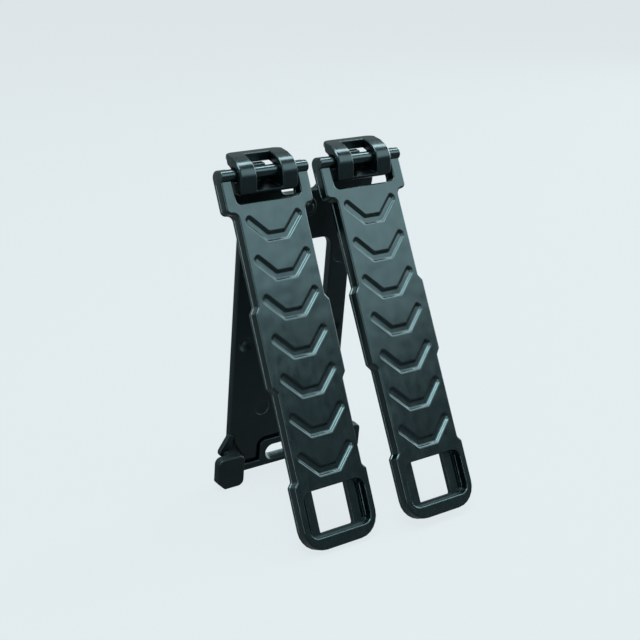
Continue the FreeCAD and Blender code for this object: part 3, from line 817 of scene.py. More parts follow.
    def bar(self) -> Moulding:
        """Round hinge bar, lying along y.

        Returns:
            The piece, not yet built.
        """
        piece = Moulding(f"hinge_bar_{self.side.word}_round")
        reach = self.head_half_width - self.bar_end_gap
        circle = Outline.circle(0.0, 0.0, self.bar_radius, points=48)
        piece.slab(circle, -reach, reach, self.bar_end_edge, self.bar_end_edge)
        return piece

    def dress(self, stance: Stance, finishes: dict[Slot, bpy.types.Material]) -> None:
        """Build the strap and its bar and hang them on their body.

        Args:
            stance: where the mouldings stand.
            finishes: the material of each slot.
        """
        place = stance.strap_place(self.side)
        body = f"strap_{self.side.word}"
        strap = self.skin().build(place, finishes[Slot.STRAP])
        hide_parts(f"strap_{self.side.word}")
        hang(strap, body)
        for sign in (-1, 1):
            hang(self.ear_cap(sign).build(place @ ALONG_HINGE, finishes[Slot.STRAP]), body)
        bar = self.bar().build(place @ ALONG_HINGE, finishes[Slot.BAR])
        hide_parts(f"hinge_bar_{self.side.word}")
        hang(bar, body)


@dataclass(frozen=True)
class BackFrame:
    """Back frame: plate with hook tabs, window, boss, screw holes, slot and grooves."""

    front: float = 4.77
    thickness: float = 3.1
    half_width: float = 22.9
    bottom: float = 113.99
    hook_offset: float = 19.05
    tab_half_width: float = 11.0
    tab_top: float = 1.0
    tab_side_end: float = 12.0
    tab_radius: float = 1.0
    shoulder_end: float = 19.0
    shoulder_radius: float = 3.0
    valley: float = 11.0
    valley_radius: float = 2.5
    window_half_width: float = 14.4
    window_top: float = 28.5
    window_bottom: float = 54.0
    window_radius: float = 4.0
    window_rim: float = 0.3
    edge_radius: float = 0.5
    parting_half_width: float = 0.12
    parting_height: float = 0.05
    boss_down: float = 14.8
    boss_radius: float = 3.5
    boss_height: float = 4.8
    stud_radius: float = 1.9
    stud_height: float = 0.9
    stud_edge_run: float = 0.9
    stud_edge_rise: float = 0.6
    hole_offset: float = 18.5
    hole_down: float = 63.3
    hole_radius: float = 0.85
    sink_run: float = 1.85
    sink_depth: float = 1.0
    sink_lip: float = 0.08
    lip: float = 0.1
    slot_down: float = 109.09
    slot_half_length: float = 7.43
    slot_half_height: float = 3.1
    slot_taper: float = 1.2
    slot_lip: float = 0.12
    slot_gap: float = 0.02
    mouth_lip: float = 0.15
    groove_width: float = 1.8
    groove_depth: float = 2.2
    groove_radius: float = 4.0
    groove_inner_radius: float = 2.2
    groove_corner_radius: float = 0.3
    groove_half_width: float = 11.6
    groove_top: float = 101.69
    groove_rail: float = 111.19
    rail_end: float = 16.6
    rail_wall: float = 0.6
    rail_down: float = 107.7
    rail_radius: float = 0.8
    mark_radius: float = 2.8
    mark_depth: float = 0.15
    upper_mark: Point = (18.65, 36.2)
    lower_mark: Point = (10.1, 89.69)
    neck_x: float = 22.4
    neck_down: float = 98.9
    neck_room: float = 1.28
    neck_start: float = 67.0
    neck_steps: int = 4
    heel_x: float = 21.0
    heel_down: float = 101.1
    shield_front: float = 6.97
    shield_down: float = 107.49
    shield_end: float = 110.64

    @property
    def back(self) -> float:
        """Plane of the plate's back."""
        return self.front + self.thickness

    def outer(self) -> Outline:
        """Outline of the plate's front, which leaves room for the latch arms.

        Returns:
            The outline.
        """
        socket = []
        for step in range(self.neck_steps + 1):
            angle = math.radians(self.neck_start + step * (180 - self.neck_start) / self.neck_steps)
            socket.append(Corner(self.neck_x + self.neck_room * math.cos(angle),
                                 -self.neck_down + self.neck_room * math.sin(angle)))
        return Outline.mirrored(self.head_corners() + socket + [
            Corner(self.heel_x, -self.heel_down, self.rail_radius),
            Corner(self.rail_end, -self.rail_down, self.rail_radius),
            Corner(self.rail_end, -self.bottom, self.rail_radius),
        ])

    def head_corners(self) -> list[Corner]:
        """Corners of the right tab and shoulder.

        Returns:
            The corners, from the valley between the tabs outward.
        """
        inner, outer = self.hook_offset - self.tab_half_width, self.hook_offset + self.tab_half_width
        return [
            Corner(inner, -self.valley, self.valley_radius),
            Corner(inner, -self.tab_top, self.tab_radius),
            Corner(outer, -self.tab_top, self.tab_radius),
            Corner(outer, -self.tab_side_end, self.shoulder_radius),
            Corner(self.half_width, -self.shoulder_end, self.shoulder_radius),
        ]

    def back_outline(self) -> Outline:
        """Outline of the plate's back skin, which runs on behind the latch arms."""
        return Outline.mirrored(self.head_corners() + [
            Corner(self.half_width, -self.shield_down, self.shoulder_radius),
            Corner(self.rail_end, -self.shield_end, self.rail_radius),
            Corner(self.rail_end, -self.bottom, self.rail_radius),
        ])

    def window(self) -> Outline:
        """Window below the boss."""
        return Outline.rectangle(self.window_half_width, -self.window_top, -self.window_bottom,
                                 self.window_radius)

    def slot(self) -> Outline:
        """Mouth of the lower slot."""
        return Outline.rectangle(self.slot_half_length, -(self.slot_down - self.slot_half_height),
                                 -(self.slot_down + self.slot_half_height),
                                 self.slot_half_height - self.slot_gap)

    def groove(self) -> Outline:
        """Blind groove around the lower slot's pad.

        Returns:
            The outline.
        """
        rail_top = -(self.groove_rail - self.groove_width)
        inner = self.groove_half_width - self.groove_width
        end = self.rail_end - self.rail_wall
        return Outline.mirrored([
            Corner(self.groove_half_width, -self.groove_top, self.groove_radius),
            Corner(self.groove_half_width, rail_top, self.groove_corner_radius),
            Corner(end, rail_top, self.groove_corner_radius),
            Corner(end, -self.groove_rail, self.groove_corner_radius),
            Corner(inner, -self.groove_rail, self.groove_corner_radius),
            Corner(inner, -(self.groove_top + self.groove_width), self.groove_inner_radius),
        ])

    def marks(self) -> list[Outline]:
        """Ejector marks on the front."""
        return [Outline.circle(sign * x, -down, self.mark_radius, points=24)
                for x, down in (self.upper_mark, self.lower_mark) for sign in (-1, 1)]

    def plate(self) -> Moulding:
        """Walls and faces of the plate.

        Returns:
            The piece, not yet built.
        """
        piece = Moulding("back_frame_plate")
        front, back, lip, mouth = self.front, self.back, self.lip, self.mouth_lip
        outer, skin, window, slot, groove = (
            self.outer(), self.back_outline(), self.window(), self.slot(), self.groove())
        middle, half = (front + back) / 2, self.parting_half_width
        parting = [Station(0.0, middle - half), Station(-self.parting_height, middle),
                   Station(0.0, middle + half)]
        piece.wall(outer, rounded_rim(front, self.edge_radius) + parting + [Station(0.0, self.shield_front)])
        piece.sheet(self.shield_front, skin.ring(), [outer.ring()])
        piece.wall(skin, [Station(0.0, self.shield_front)] + closing_rim(back, self.edge_radius))
        piece.wall(window, opening_wall(front, back, self.window_rim))
        piece.wall(slot, [Station(-mouth, front), Station(self.slot_gap, front + self.slot_lip),
                          Station(self.slot_taper, back - lip), Station(self.slot_taper - lip, back)])
        holes = [Outline.circle(sign * self.hole_offset, -self.hole_down, self.hole_radius)
                 for sign in (-1, 1)]
        hole_rim = self.window_rim / 2
        for hole in holes:
            piece.wall(hole, [Station(-self.sink_run - lip, front),
                              Station(-self.sink_run, front + self.sink_lip),
                              Station(0.0, front + self.sink_depth), Station(0.0, back - hole_rim),
                              Station(-hole_rim, back)])
        piece.wall(groove, [Station(-mouth, front), Station(0.0, front + mouth),
                            Station(lip / 2, front + self.groove_depth)], cap_end=True)
        marks = self.marks()
        for mark in marks:
            piece.wall(mark, [Station(0.0, front), Station(lip, front + self.mark_depth)], cap_end=True)
        piece.sheet(front, outer.ring(self.edge_radius),
                    [window.ring(-self.window_rim), slot.ring(-mouth), groove.ring(-mouth)]
                    + [hole.ring(-self.sink_run - lip) for hole in holes]
                    + [mark.ring() for mark in marks])
        piece.sheet(back, skin.ring(self.edge_radius),
                    [window.ring(-self.window_rim), slot.ring(self.slot_taper - lip)]
                    + [hole.ring(-hole_rim) for hole in holes])
        return piece

    def boss(self) -> Moulding:
        """Round boss with its low stud.

        Returns:
            The piece, not yet built.
        """
        piece = Moulding("back_frame_boss")
        circle = Outline.circle(0.0, -self.boss_down, self.boss_radius, points=48)
        root = self.front + self.edge_radius
        face = self.front - self.boss_height
        step = self.boss_radius - self.stud_radius
        top = face - self.stud_height
        stations = [Station(0.0, root)] + list(reversed(rounded_rim(face, self.edge_radius)))
        stations += [Station(step, face), Station(step, top + self.stud_edge_rise)]
        for degrees in (20, 40, 60, 80):
            angle = math.radians(degrees)
            stations.append(Station(step + self.stud_edge_run * (1 - math.cos(angle)),
                                    top + self.stud_edge_rise * (1 - math.sin(angle))))
        piece.wall(circle, stations, cap_end=True)
        piece.sheet(root, circle.ring())
        return piece

    def dress(self, stance: Stance, finishes: dict[Slot, bpy.types.Material]) -> None:
        """Build the frame's pieces and hang them on their body.

        Args:
            stance: where the mouldings stand.
            finishes: the material of each slot.
        """
        place = stance.frame_place()
        plate = self.plate().build(place, finishes[Slot.FRAME])
        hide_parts("back_frame")
        hang(plate, "frame")
        hang(self.boss().build(place, finishes[Slot.FRAME]), "frame")


@dataclass(frozen=True)
class Latch:
    """Squeeze latch at one lower corner of the back frame."""

    side: Side
    front: float = 4.77
    back: float = 6.67
    neck: Point = (22.4, -98.9)
    neck_radius: float = 1.2
    elbow: Point = (24.975, -104.1)
    elbow_radius: float = 1.8
    heel_inner: float = 21.7
    heel_bottom: float = 107.5
    shank_inner: float = 19.95
    shank_outer: float = 25.2
    shank_gap: float = 0.35
    foot_back: float = 2.0
    foot_front: float = -1.23
    foot_outer: float = 30.6
    foot_top: float = 103.3
    foot_bottom: float = 115.44
    corner_radius: float = 2.2
    corner_cut: float = 3.0
    foot_edge: float = 0.7
    foot_back_edge: float = 0.2
    foot_corner_radius: float = 0.9
    edge: float = 0.25
    heel_radius: float = 1.2
    outer_radius: float = 0.3
    shank_radius: float = 0.6
    sunk: float = 0.3
    skin_gap: float = 0.01
    arc_steps: int = 12

    def mirrored(self, corners: Sequence[Corner]) -> Outline:
        """Outline of one of the latch's plates on its own side.

        Args:
            corners: the right-hand latch's corners.

        Returns:
            The outline.
        """
        return Outline([Corner(self.side.value * c.x, c.z, c.radius) for c in corners])

    def arm(self) -> Outline:
        """Round neck, arm and elbow in one outline.

        Returns:
            The outline.
        """
        run = Vector((self.elbow[0] - self.neck[0], self.elbow[1] - self.neck[1]))
        heading = math.atan2(run.y, run.x)
        lean = math.asin((self.elbow_radius - self.neck_radius) / run.length)
        corners = []
        for centre, radius, start, end in (
                (self.elbow, self.elbow_radius, -(math.pi / 2 + lean), math.pi / 2 + lean),
                (self.neck, self.neck_radius, math.pi / 2 + lean, 1.5 * math.pi - lean)):
            for step in range(self.arc_steps + 1):
                angle = heading + start + (end - start) * step / self.arc_steps
                corners.append(Corner(centre[0] + radius * math.cos(angle),
                                      centre[1] + radius * math.sin(angle)))
        return self.mirrored(corners)

    def dress(self, stance: Stance, finishes: dict[Slot, bpy.types.Material]) -> None:
        """Build the latch and hang it on its body.

        Args:
            stance: where the mouldings stand.
            finishes: the material of each slot.
        """
        piece = Moulding(f"latch_{self.side.word}_lever")
        piece.slab(self.arm(), self.front, self.back, self.edge, self.edge)
        gap, root = self.skin_gap, self.foot_back - self.sunk
        heel_outer = self.shank_outer - 2 * gap
        heel = self.mirrored([
            Corner(self.heel_inner, self.elbow[1], self.heel_radius),
            Corner(heel_outer, self.elbow[1], self.outer_radius),
            Corner(heel_outer, -self.heel_bottom, self.heel_radius),
            Corner(self.heel_inner, -self.heel_bottom, self.heel_radius),
        ])
        piece.slab(heel, root, self.back - gap, self.edge, self.edge)
        inner, top, bottom = self.shank_inner + gap, self.foot_top + gap, self.foot_bottom - 2 * gap
        shank = self.mirrored([
            Corner(inner, -top, self.corner_radius),
            Corner(self.shank_outer, -top, self.outer_radius),
            Corner(self.shank_outer, -bottom, self.shank_radius),
            Corner(inner, -bottom, self.corner_radius),
        ])
        piece.slab(shank, root, self.front - self.shank_gap, self.edge, self.edge)
        foot = self.mirrored([
            Corner(self.shank_inner, -self.foot_top, self.corner_radius),
            Corner(self.foot_outer, -self.foot_top, self.corner_radius),
            Corner(self.foot_outer, -(self.foot_bottom - self.corner_cut), self.foot_corner_radius),
            Corner(self.foot_outer - self.corner_cut, -self.foot_bottom, self.foot_corner_radius),
            Corner(self.shank_inner, -self.foot_bottom, self.corner_radius),
        ])
        piece.slab(foot, self.foot_front, self.foot_back, self.foot_edge, self.foot_back_edge)
        lever = piece.build(stance.frame_place(), finishes[Slot.LATCH])
        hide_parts(f"latch_{self.side.word}")
        hang(lever, f"latch_{self.side.word}")


@dataclass(frozen=True)
class HingeHook:
    """Hook pair that holds one strap's bar: two fingers, the web and nose that join them, and a tongue."""

    side: Side
    tab_front: float = 4.77
    tab_top: float = 1.0
    root_down: float = 7.2
    floor_down: float = 4.4
    inner: float = 4.9
    outer: float = 11.0
    outer_edge: float = 0.8
    inner_edge: float = 0.45
    socket_radius: float = 2.08
    bridge_front: float = 4.4
    bridge_edge: float = 0.4
    top: float = 5.15
    nose_back: float = 7.7
    nose_thickness: float = 1.8
    nose_corner_radius: float = 3.3
    toe_start: Point = (-3.2, -5.9)
    toe_bend: Point = (-4.35, -5.35)
    toe_end: float = -4.7
    shin: tuple[Point, Point, Point] = ((-4.68, -4.1), (-4.69, -2.8), (-4.45, -1.5))
    brow: tuple[Point, Point, Point] = ((-4.45, -1.5), (-2.9, 2.35), (0.5, 4.4))
    crown_start: Point = (1.45, 4.69)
    crown: Point = (2.4, 4.95)
    nose_top: Point = (6.0, 5.11)
    nose_root: tuple[Point, Point] = ((5.9, 3.15), (5.1, 2.5))
    bridge_low: float = 1.97
    throat: Point = (2.9, 1.5)
    chin: Point = (3.4, -0.86)
    mouth_high: float = 27.0
    mouth_low: float = -20.0
    socket_steps: int = 28
    lip_steps: int = 4
    edge_steps: int = 4
    corner_steps: int = 8
    least_share: float = 0.02
    tongue_half_width: float = 2.4
    tongue_front: float = 2.3
    tongue_top: float = 1.85
    tongue_radius: float = 0.4
    tongue_front_edge: float = 0.45
    tongue_back_edge: float = 0.3
    tongue_sunk: float = 0.2
    tongue_gap: float = 0.01

    def sections(self) -> tuple[list[Point], list[bool], list[Point]]:
        """Side profile of a finger, as (y, z) points from the root forward, over the bar and back under it.

        Returns:
            The points, whether each belongs to the web or nose that joins the fingers, and the
            points that round the nose's front edge between the fingers.
        """
        root_z, floor_z = -self.root_down, -self.floor_down
        toe = arc(self.toe_start, self.toe_bend, (self.toe_end, floor_z), points=5)
        web = [(self.tab_front, floor_z), (self.tab_front, root_z), *toe]
        front = [*arc(*self.shin, points=4), *arc(*self.brow, points=12)[1:], self.crown_start, self.crown]
        crown_y, crown_z = self.crown
        end_y = self.nose_back - self.nose_thickness / 2
        lip_y = self.bridge_front + self.bridge_edge
        lip_z = crown_z + (lip_y - crown_y) * (self.top - crown_z) / (end_y - crown_y)
        tip = arc((end_y, self.top), (self.nose_back, self.top - self.nose_thickness / 2),
                  (end_y, self.top - self.nose_thickness), points=8)
        nose = [(lip_y, lip_z), self.nose_top, *tip, *self.nose_root, (self.bridge_front, self.bridge_low)]
        start, sweep = math.radians(self.mouth_high), math.radians(360 + self.mouth_low - self.mouth_high)
        socket = [(self.socket_radius * math.cos(angle), self.socket_radius * math.sin(angle))
                  for angle in (start + sweep * step / self.socket_steps
                                for step in range(self.socket_steps + 1))]
        under = [self.throat, *socket, self.chin, (self.tab_front, -self.tab_top)]
        points = [*web, *front, *nose, *under]
        joined = [True] * len(web) + [False] * len(front) + [True] * len(nose) + [False] * len(under)
        lip = [(lip_y - self.bridge_edge * math.sin(angle), lip_z - self.bridge_edge * (1 - math.cos(angle)))
               for angle in (math.pi / 2 * step / self.lip_steps for step in range(1, self.lip_steps + 1))]
        return points, joined, lip

    def corner_share(self, across: float) -> float:
        """How much of the nose's overhang is left at a distance from the hook's middle.

        Args:
            across: distance from the middle.

        Returns:
            1 in the middle, falling to nearly 0 at the rounded corner's side.
        """
        beyond = max(0.0, abs(across) - (self.outer - self.nose_corner_radius))
        return max(self.least_share, math.sqrt(max(0.0, 1 - (beyond / self.nose_corner_radius) ** 2)))

    def finger_loop(self, outline: Outline, joined: Sequence[bool], across: float, sign: int) -> Loop:
        """One cross-section of a finger.

        Args:
            outline: the side profile.
            joined: which of its points belong to the web or nose.
            across: distance from the hook's middle.
            sign: -1 for the left finger, +1 for the right one.

        Returns:
            The loop.
        """
        outside = self.quarter_inset(self.outer - across, self.outer_edge)
        inside_edge = self.quarter_inset(across - self.inner, self.inner_edge)
        ring = outline.uneven_ring([outside if flag else max(outside, inside_edge) for flag in joined])
        share = self.corner_share(across)
        straight = self.nose_back - self.nose_corner_radius
        squeezed = [(-(straight + (-x - straight) * share), z) if -x > straight and z > 0 else (x, z)
                    for x, z in ring]
        return Loop(sign * across, squeezed)

    @staticmethod
    def quarter_inset(distance: float, radius: float) -> float:
        """Inset of a quarter-round edge at a distance from the side it rounds.

        Args:
            distance: distance from the side.
            radius: radius of the edge.

        Returns:
            The inset, 0 beyond the radius.
        """
        left = max(0.0, radius - distance)
        return radius - math.sqrt(max(0.0, radius * radius - left * left))

    def stations(self) -> list[float]:
        """Where a finger's cross-sections are placed.

        Returns:
            Distances from the hook's middle, closer together where an edge or the nose is round.
        """
        spots = {self.inner, self.inner + self.inner_edge, self.outer - self.outer_edge, self.outer}
        for step in range(1, self.edge_steps):
            share = 1 - math.cos(math.pi / 2 * step / self.edge_steps)
            spots.add(self.inner + self.inner_edge * share)
            spots.add(self.outer - self.outer_edge * share)
        for step in range(self.corner_steps):
            share = 1 - math.sin(math.pi / 2 * step / self.corner_steps)
            spots.add(self.outer - self.nose_corner_radius * share)
        return sorted(spots)

    def hook(self) -> Moulding:
        """Fingers, web and nose.

        Returns:
            The piece, not yet built, lying along y.
        """
        piece = Moulding(f"hinge_hook_{self.side.word}_pair")
        points, joined, lip = self.sections()
        outline = Outline([Corner(-y, z) for y, z in points])
        lip_loop = [(-y, z) for y, z in lip]
        web_end = joined.index(False)
        nose_start = joined.index(True, web_end)
        nose_end = joined.index(False, nose_start)
        for sign in (-1, 1):
            loops = [self.finger_loop(outline, joined, across, sign) for across in self.stations()]
            piece.skin(loops)
            piece.sheet(loops[-1].y, loops[-1].points)
            rim = loops[0].points
            piece.sheet(loops[0].y, [*rim[web_end - 1:nose_start + 1], *lip_loop, *rim[nose_end:], rim[0]])
        ring = outline.ring()
        spans = [i for i in range(len(points)) if joined[i] and joined[(i + 1) % len(points)]]
        piece.skin([Loop(sign * self.inner, ring) for sign in (-1, 1)], spans)
        front_chain = [ring[nose_start], *lip_loop, ring[nose_end - 1]]
        for chain in (front_chain, [ring[0], ring[web_end - 1]]):
            piece.skin([Loop(sign * self.inner, chain) for sign in (-1, 1)], range(len(chain) - 1))
        return piece

    def tongue(self) -> Moulding:
        """Spring tongue behind the bar.

        Returns:
            The piece, not yet built.
        """
        piece = Moulding(f"hinge_hook_{self.side.word}_tongue")
        outline = Outline.rectangle(self.tongue_half_width, self.tongue_top,
                                    -(self.floor_down + self.tongue_sunk), self.tongue_radius)
        piece.slab(outline, self.tongue_front, self.tab_front - self.tongue_gap,
                   self.tongue_front_edge, self.tongue_back_edge)
        return piece

    def dress(self, stance: Stance, finishes: dict[Slot, bpy.types.Material]) -> None:
        """Build the hook and its tongue and hang them on the frame.

        Args:
            stance: where the mouldings stand.
            finishes: the material of each slot.
        """
        place = stance.frame_place(self.side.value * stance.strap_pitch / 2)
        hook = self.hook().build(place @ ALONG_HINGE, finishes[Slot.HOOK])
        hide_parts(f"hinge_hook_{self.side.word}")
        hang(hook, "frame")
        hang(self.tongue().build(place, finishes[Slot.HOOK]), "frame")


# ------------------------------------------------------------------ finishes
class NodeKit:
    """Short ways to place and link shader nodes in one node tree."""

    def __init__(self, tree: bpy.types.NodeTree) -> None:
        """Keep the tree.

        Args:
            tree: a material's or a group's node tree.
        """
        self.tree = tree

    def add(self, kind: str, inputs: dict[str | int, object] | None = None,
            **settings: object) -> bpy.types.Node:
        """Place a node.

        Args:
            kind: the node's type name.
            inputs: values or output sockets for its inputs.
            settings: the node's own properties.

        Returns:
            The node.
        """
        node = self.tree.nodes.new(kind)
        for name, value in settings.items():
            setattr(node, name, value)
        for key, value in (inputs or {}).items():
            if isinstance(value, bpy.types.NodeSocket):
                self.tree.links.new(value, node.inputs[key])
            else:
                node.inputs[key].default_value = value
        return node

    @staticmethod
    def empty(owner: bpy.types.Material | bpy.types.World) -> "NodeKit":
        """Clear the nodes of a material or world.

        Args:
            owner: the material or world.
        """
        owner.use_nodes = True
        owner.node_tree.nodes.clear()
        return NodeKit(owner.node_tree)

    def noise(self, vector: bpy.types.NodeSocket, scale: object, detail: float,
              roughness: float) -> bpy.types.NodeSocket:
        """Noise mask.

        Args:
            vector: where it is looked up.
            scale: its scale, a number or a socket.
            detail: how many octaves.
            roughness: how strong the fine ones are.

        Returns:
            The mask's socket.
        """
        node = self.add("ShaderNodeTexNoise", {"Vector": vector, "Scale": scale, "Detail": detail,
                                               "Roughness": roughness})
        return node.outputs["Fac"]

    def math(self, operation: str, *values: object, clamp: bool = False) -> bpy.types.NodeSocket:
        """Math node.

        Args:
            operation: what it does.
            values: its inputs.
            clamp: whether the result is kept between 0 and 1.

        Returns:
            The result's socket.
        """
        node = self.add("ShaderNodeMath", dict(enumerate(values)), operation=operation, use_clamp=clamp)
        return node.outputs[0]

    def spread(self, value: bpy.types.NodeSocket, low: float, high: float, start: object = 0.0,
               end: object = 1.0) -> bpy.types.NodeSocket:
        """Map a mask from one range to another, clamped.

        Args:
            value: the mask.
            low: where the range starts.
            high: where it ends.
            start: result at low.
            end: result at high.

        Returns:
            The result's socket.
        """
        node = self.add("ShaderNodeMapRange", {"Value": value, "From Min": low, "From Max": high,
                                               "To Min": start, "To Max": end}, clamp=True)
        return node.outputs["Result"]


def new_group(name: str, takes: dict[str, float], gives: Sequence[str]) -> bpy.types.NodeTree:
    """Empty shader node group with named sockets.

    Args:
        name: the group's name.
        takes: name and default of each number that it takes besides the Vector.
        gives: name of each mask or value that it puts out.

    Returns:
        The group's tree.
    """
    tree = bpy.data.node_groups.new(name, "ShaderNodeTree")
    tree.interface.new_socket(name="Vector", in_out="INPUT", socket_type="NodeSocketVector")
    for label, default in takes.items():
        made = tree.interface.new_socket(name=label, in_out="INPUT", socket_type="NodeSocketFloat")
        made.default_value = default
    for label in gives:
        tree.interface.new_socket(name=label, in_out="OUTPUT", socket_type="NodeSocketFloat")
    return tree


def moulded_grain_group() -> bpy.types.NodeTree:
    """Group: fine matt texture that the mould leaves on glass-filled nylon.

    Returns:
        The group's tree.
    """
    tree = new_group("moulded_grain", {"Grain Size": 0.2, "Depth": 1.0}, ("Height", "Speckle"))
    kit = NodeKit(tree)
    taken = kit.add("NodeGroupInput")
    vector = taken.outputs["Vector"]
    broad_scale, fine_share = 0.22, 0.7
    per_mm = kit.math("DIVIDE", 1.0, taken.outputs["Grain Size"])
    fine = kit.noise(vector, per_mm, detail=3.0, roughness=0.65)
    broad = kit.noise(vector, kit.math("MULTIPLY", per_mm, broad_scale), detail=2.0, roughness=0.5)
    height = kit.math("ADD", kit.math("MULTIPLY", fine, fine_share),
                      kit.math("MULTIPLY", broad, 1.0 - fine_share))
    kit.add("NodeGroupOutput", {"Height": kit.math("MULTIPLY", height, taken.outputs["Depth"]),
                                "Speckle": kit.spread(fine, low=0.35, high=0.7)})
    return tree


def melt_flow_group() -> bpy.types.NodeTree:
    """Group: soft streaks and clouds where the melt flowed along the moulding.

    Returns:
        The group's tree.
    """
    tree = new_group("melt_flow", {"Streak": 4.0}, ("Cloud", "Streaks", "Wave"))
    kit = NodeKit(tree)
    taken = kit.add("NodeGroupInput")
    vector = taken.outputs["Vector"]
    slim = kit.math("DIVIDE", 1.0, taken.outputs["Streak"])
    stretch = kit.add("ShaderNodeCombineXYZ", {"X": 1.0, "Y": 1.0, "Z": slim})
    stretched = kit.add("ShaderNodeVectorMath", {0: vector, 1: stretch.outputs["Vector"]},
                        operation="MULTIPLY")
    cloud = kit.noise(vector, scale=0.09, detail=3.0, roughness=0.55)
    streaks = kit.noise(stretched.outputs["Vector"], scale=0.45, detail=3.0, roughness=0.6)
    kit.add("NodeGroupOutput", {"Cloud": kit.spread(cloud, low=0.3, high=0.7),
                                "Streaks": kit.spread(streaks, low=0.3, high=0.7),
                                "Wave": kit.noise(vector, scale=0.12, detail=1.0, roughness=0.4)})
    return tree


def painted_edge_highlight_group() -> bpy.types.NodeTree:
    """Group: mask of the rounded outer edges where a painted highlight goes, broken up so that it is uneven.

    Returns:
        The group's tree.
    """
    tree = new_group("painted_edge_highlight", {"Edge Width": 0.0004, "Break Up": 0.6}, ("Mask",))
    kit = NodeKit(tree)
    taken = kit.add("NodeGroupInput")
    rounded = kit.add("ShaderNodeBevel", {"Radius": taken.outputs["Edge Width"]}, samples=6)
    geometry = kit.add("ShaderNodeNewGeometry")
    agree = kit.add("ShaderNodeVectorMath", {0: rounded.outputs["Normal"], 1: geometry.outputs["Normal"]},
                    operation="DOT_PRODUCT")
    turned = kit.spread(agree.outputs["Value"], low=0.995, high=0.85)
    patches = kit.noise(taken.outputs["Vector"], scale=0.35, detail=4.0, roughness=0.65)
    least = kit.math("SUBTRACT", 1.0, taken.outputs["Break Up"])
    uneven = kit.spread(patches, low=0.35, high=0.65, start=least)
    kit.add("NodeGroupOutput", {"Mask": kit.math("MULTIPLY", turned, uneven, clamp=True)})
    return tree


class Groups:
    """The shader node groups that all finishes share, built once."""

    def __init__(self) -> None:
        """Build the groups."""
        self.grain = moulded_grain_group()
        self.flow = melt_flow_group()
        self.edge_highlight = painted_edge_highlight_group()


@dataclass(frozen=True)
class MouldedNylon:
    """Black glass-filled nylon as it leaves the mould, with its own sheen and grain, and a painted highlight
    along its edges.
    """

    name: str
    dark: Colour = (0.0006, 0.0014, 0.0018, 1.0)
    light: Colour = (0.0015, 0.0031, 0.0037, 1.0)
    # painted highlight: lighter colour laid on the rounded edges where the edge mask is
    edge_highlight_colour: Colour = (0.032, 0.050, 0.054, 1.0)
    smooth: float = 0.18
    matt: float = 0.27
    grain_size: float = 0.28
    grain_height: float = 0.010
    grain_strength: float = 0.2
    wave_height: float = 0.16
    streak_share: float = 0.8
    edge_width: float = 0.5
    reflection: float = 0.9
    refraction: float = 1.53
    sheen: Colour = (0.66, 1.0, 1.05, 1.0)

    def material(self, groups: Groups) -> bpy.types.Material:
        """Build the material.

        Args:
            groups: the shared node groups.

        Returns:
            The material.
        """
        material = bpy.data.materials.new(self.name)
        material.diffuse_color = self.light
        kit = NodeKit.empty(material)
        place = kit.add("ShaderNodeTexCoord").outputs["Object"]
        in_mm = kit.add("ShaderNodeVectorMath", {0: place, 1: (1 / MM,) * 3}, operation="MULTIPLY")
        vector = in_mm.outputs["Vector"]
        grain = kit.add("ShaderNodeGroup", node_tree=groups.grain)
        flow = kit.add("ShaderNodeGroup", node_tree=groups.flow)
        edge_highlight = kit.add("ShaderNodeGroup", node_tree=groups.edge_highlight)
        for node in (grain, flow, edge_highlight):
            kit.tree.links.new(vector, node.inputs["Vector"])
        grain.inputs["Grain Size"].default_value = self.grain_size
        edge_highlight.inputs["Edge Width"].default_value = self.edge_width * MM
        tint = kit.add("ShaderNodeMix", {"Factor": flow.outputs["Cloud"], "A": self.dark, "B": self.light},
                       data_type="RGBA")
        # Painted highlight: the edge mask lays the lighter edge colour over the tint.
        colour = kit.add("ShaderNodeMix", {"Factor": edge_highlight.outputs["Mask"], "B": self.edge_highlight_colour}, data_type="RGBA")
        kit.tree.links.new(tint.outputs["Result"], colour.inputs["A"])
        ramp = kit.math("ADD", kit.math("MULTIPLY", flow.outputs["Streaks"], self.streak_share),
                        kit.math("MULTIPLY", grain.outputs["Speckle"], 1.0 - self.streak_share))
        sink = kit.add("ShaderNodeBump", {"Height": flow.outputs["Wave"], "Distance": self.wave_height * MM})
        bump = kit.add("ShaderNodeBump", {
            "Height": grain.outputs["Height"],
            "Strength": self.grain_strength,
            "Distance": self.grain_height * MM,
            "Normal": sink.outputs["Normal"],
        })
        shader = kit.add("ShaderNodeBsdfPrincipled", {
            "Base Color": colour.outputs["Result"],
            "Roughness": kit.spread(ramp, low=0.0, high=1.0, start=self.smooth, end=self.matt),
            "Normal": bump.outputs["Normal"],
            "Specular IOR Level": self.reflection,
            "IOR": self.refraction,
            "Specular Tint": self.sheen,
        })
        kit.add("ShaderNodeOutputMaterial", {"Surface": shader.outputs["BSDF"]})
        return material


def all_finishes() -> dict[Slot, bpy.types.Material]:
    """Build the finish of every slot.

    Returns:
        One material for each slot.
    """
    groups = Groups()
    kinds = {
        Slot.FRAME: MouldedNylon("frame_nylon", smooth=0.34, matt=0.46, reflection=0.6),
        Slot.HOOK: MouldedNylon("hook_nylon", smooth=0.19, matt=0.28, reflection=0.7),
        Slot.LATCH: MouldedNylon("latch_nylon", smooth=0.44, matt=0.58, grain_height=0.016, reflection=0.6),
        Slot.STRAP: MouldedNylon("strap_nylon"),
        Slot.BAR: MouldedNylon("bar_nylon", smooth=0.17, matt=0.25),
    }
    return {slot: kind.material(groups) for slot, kind in kinds.items()}


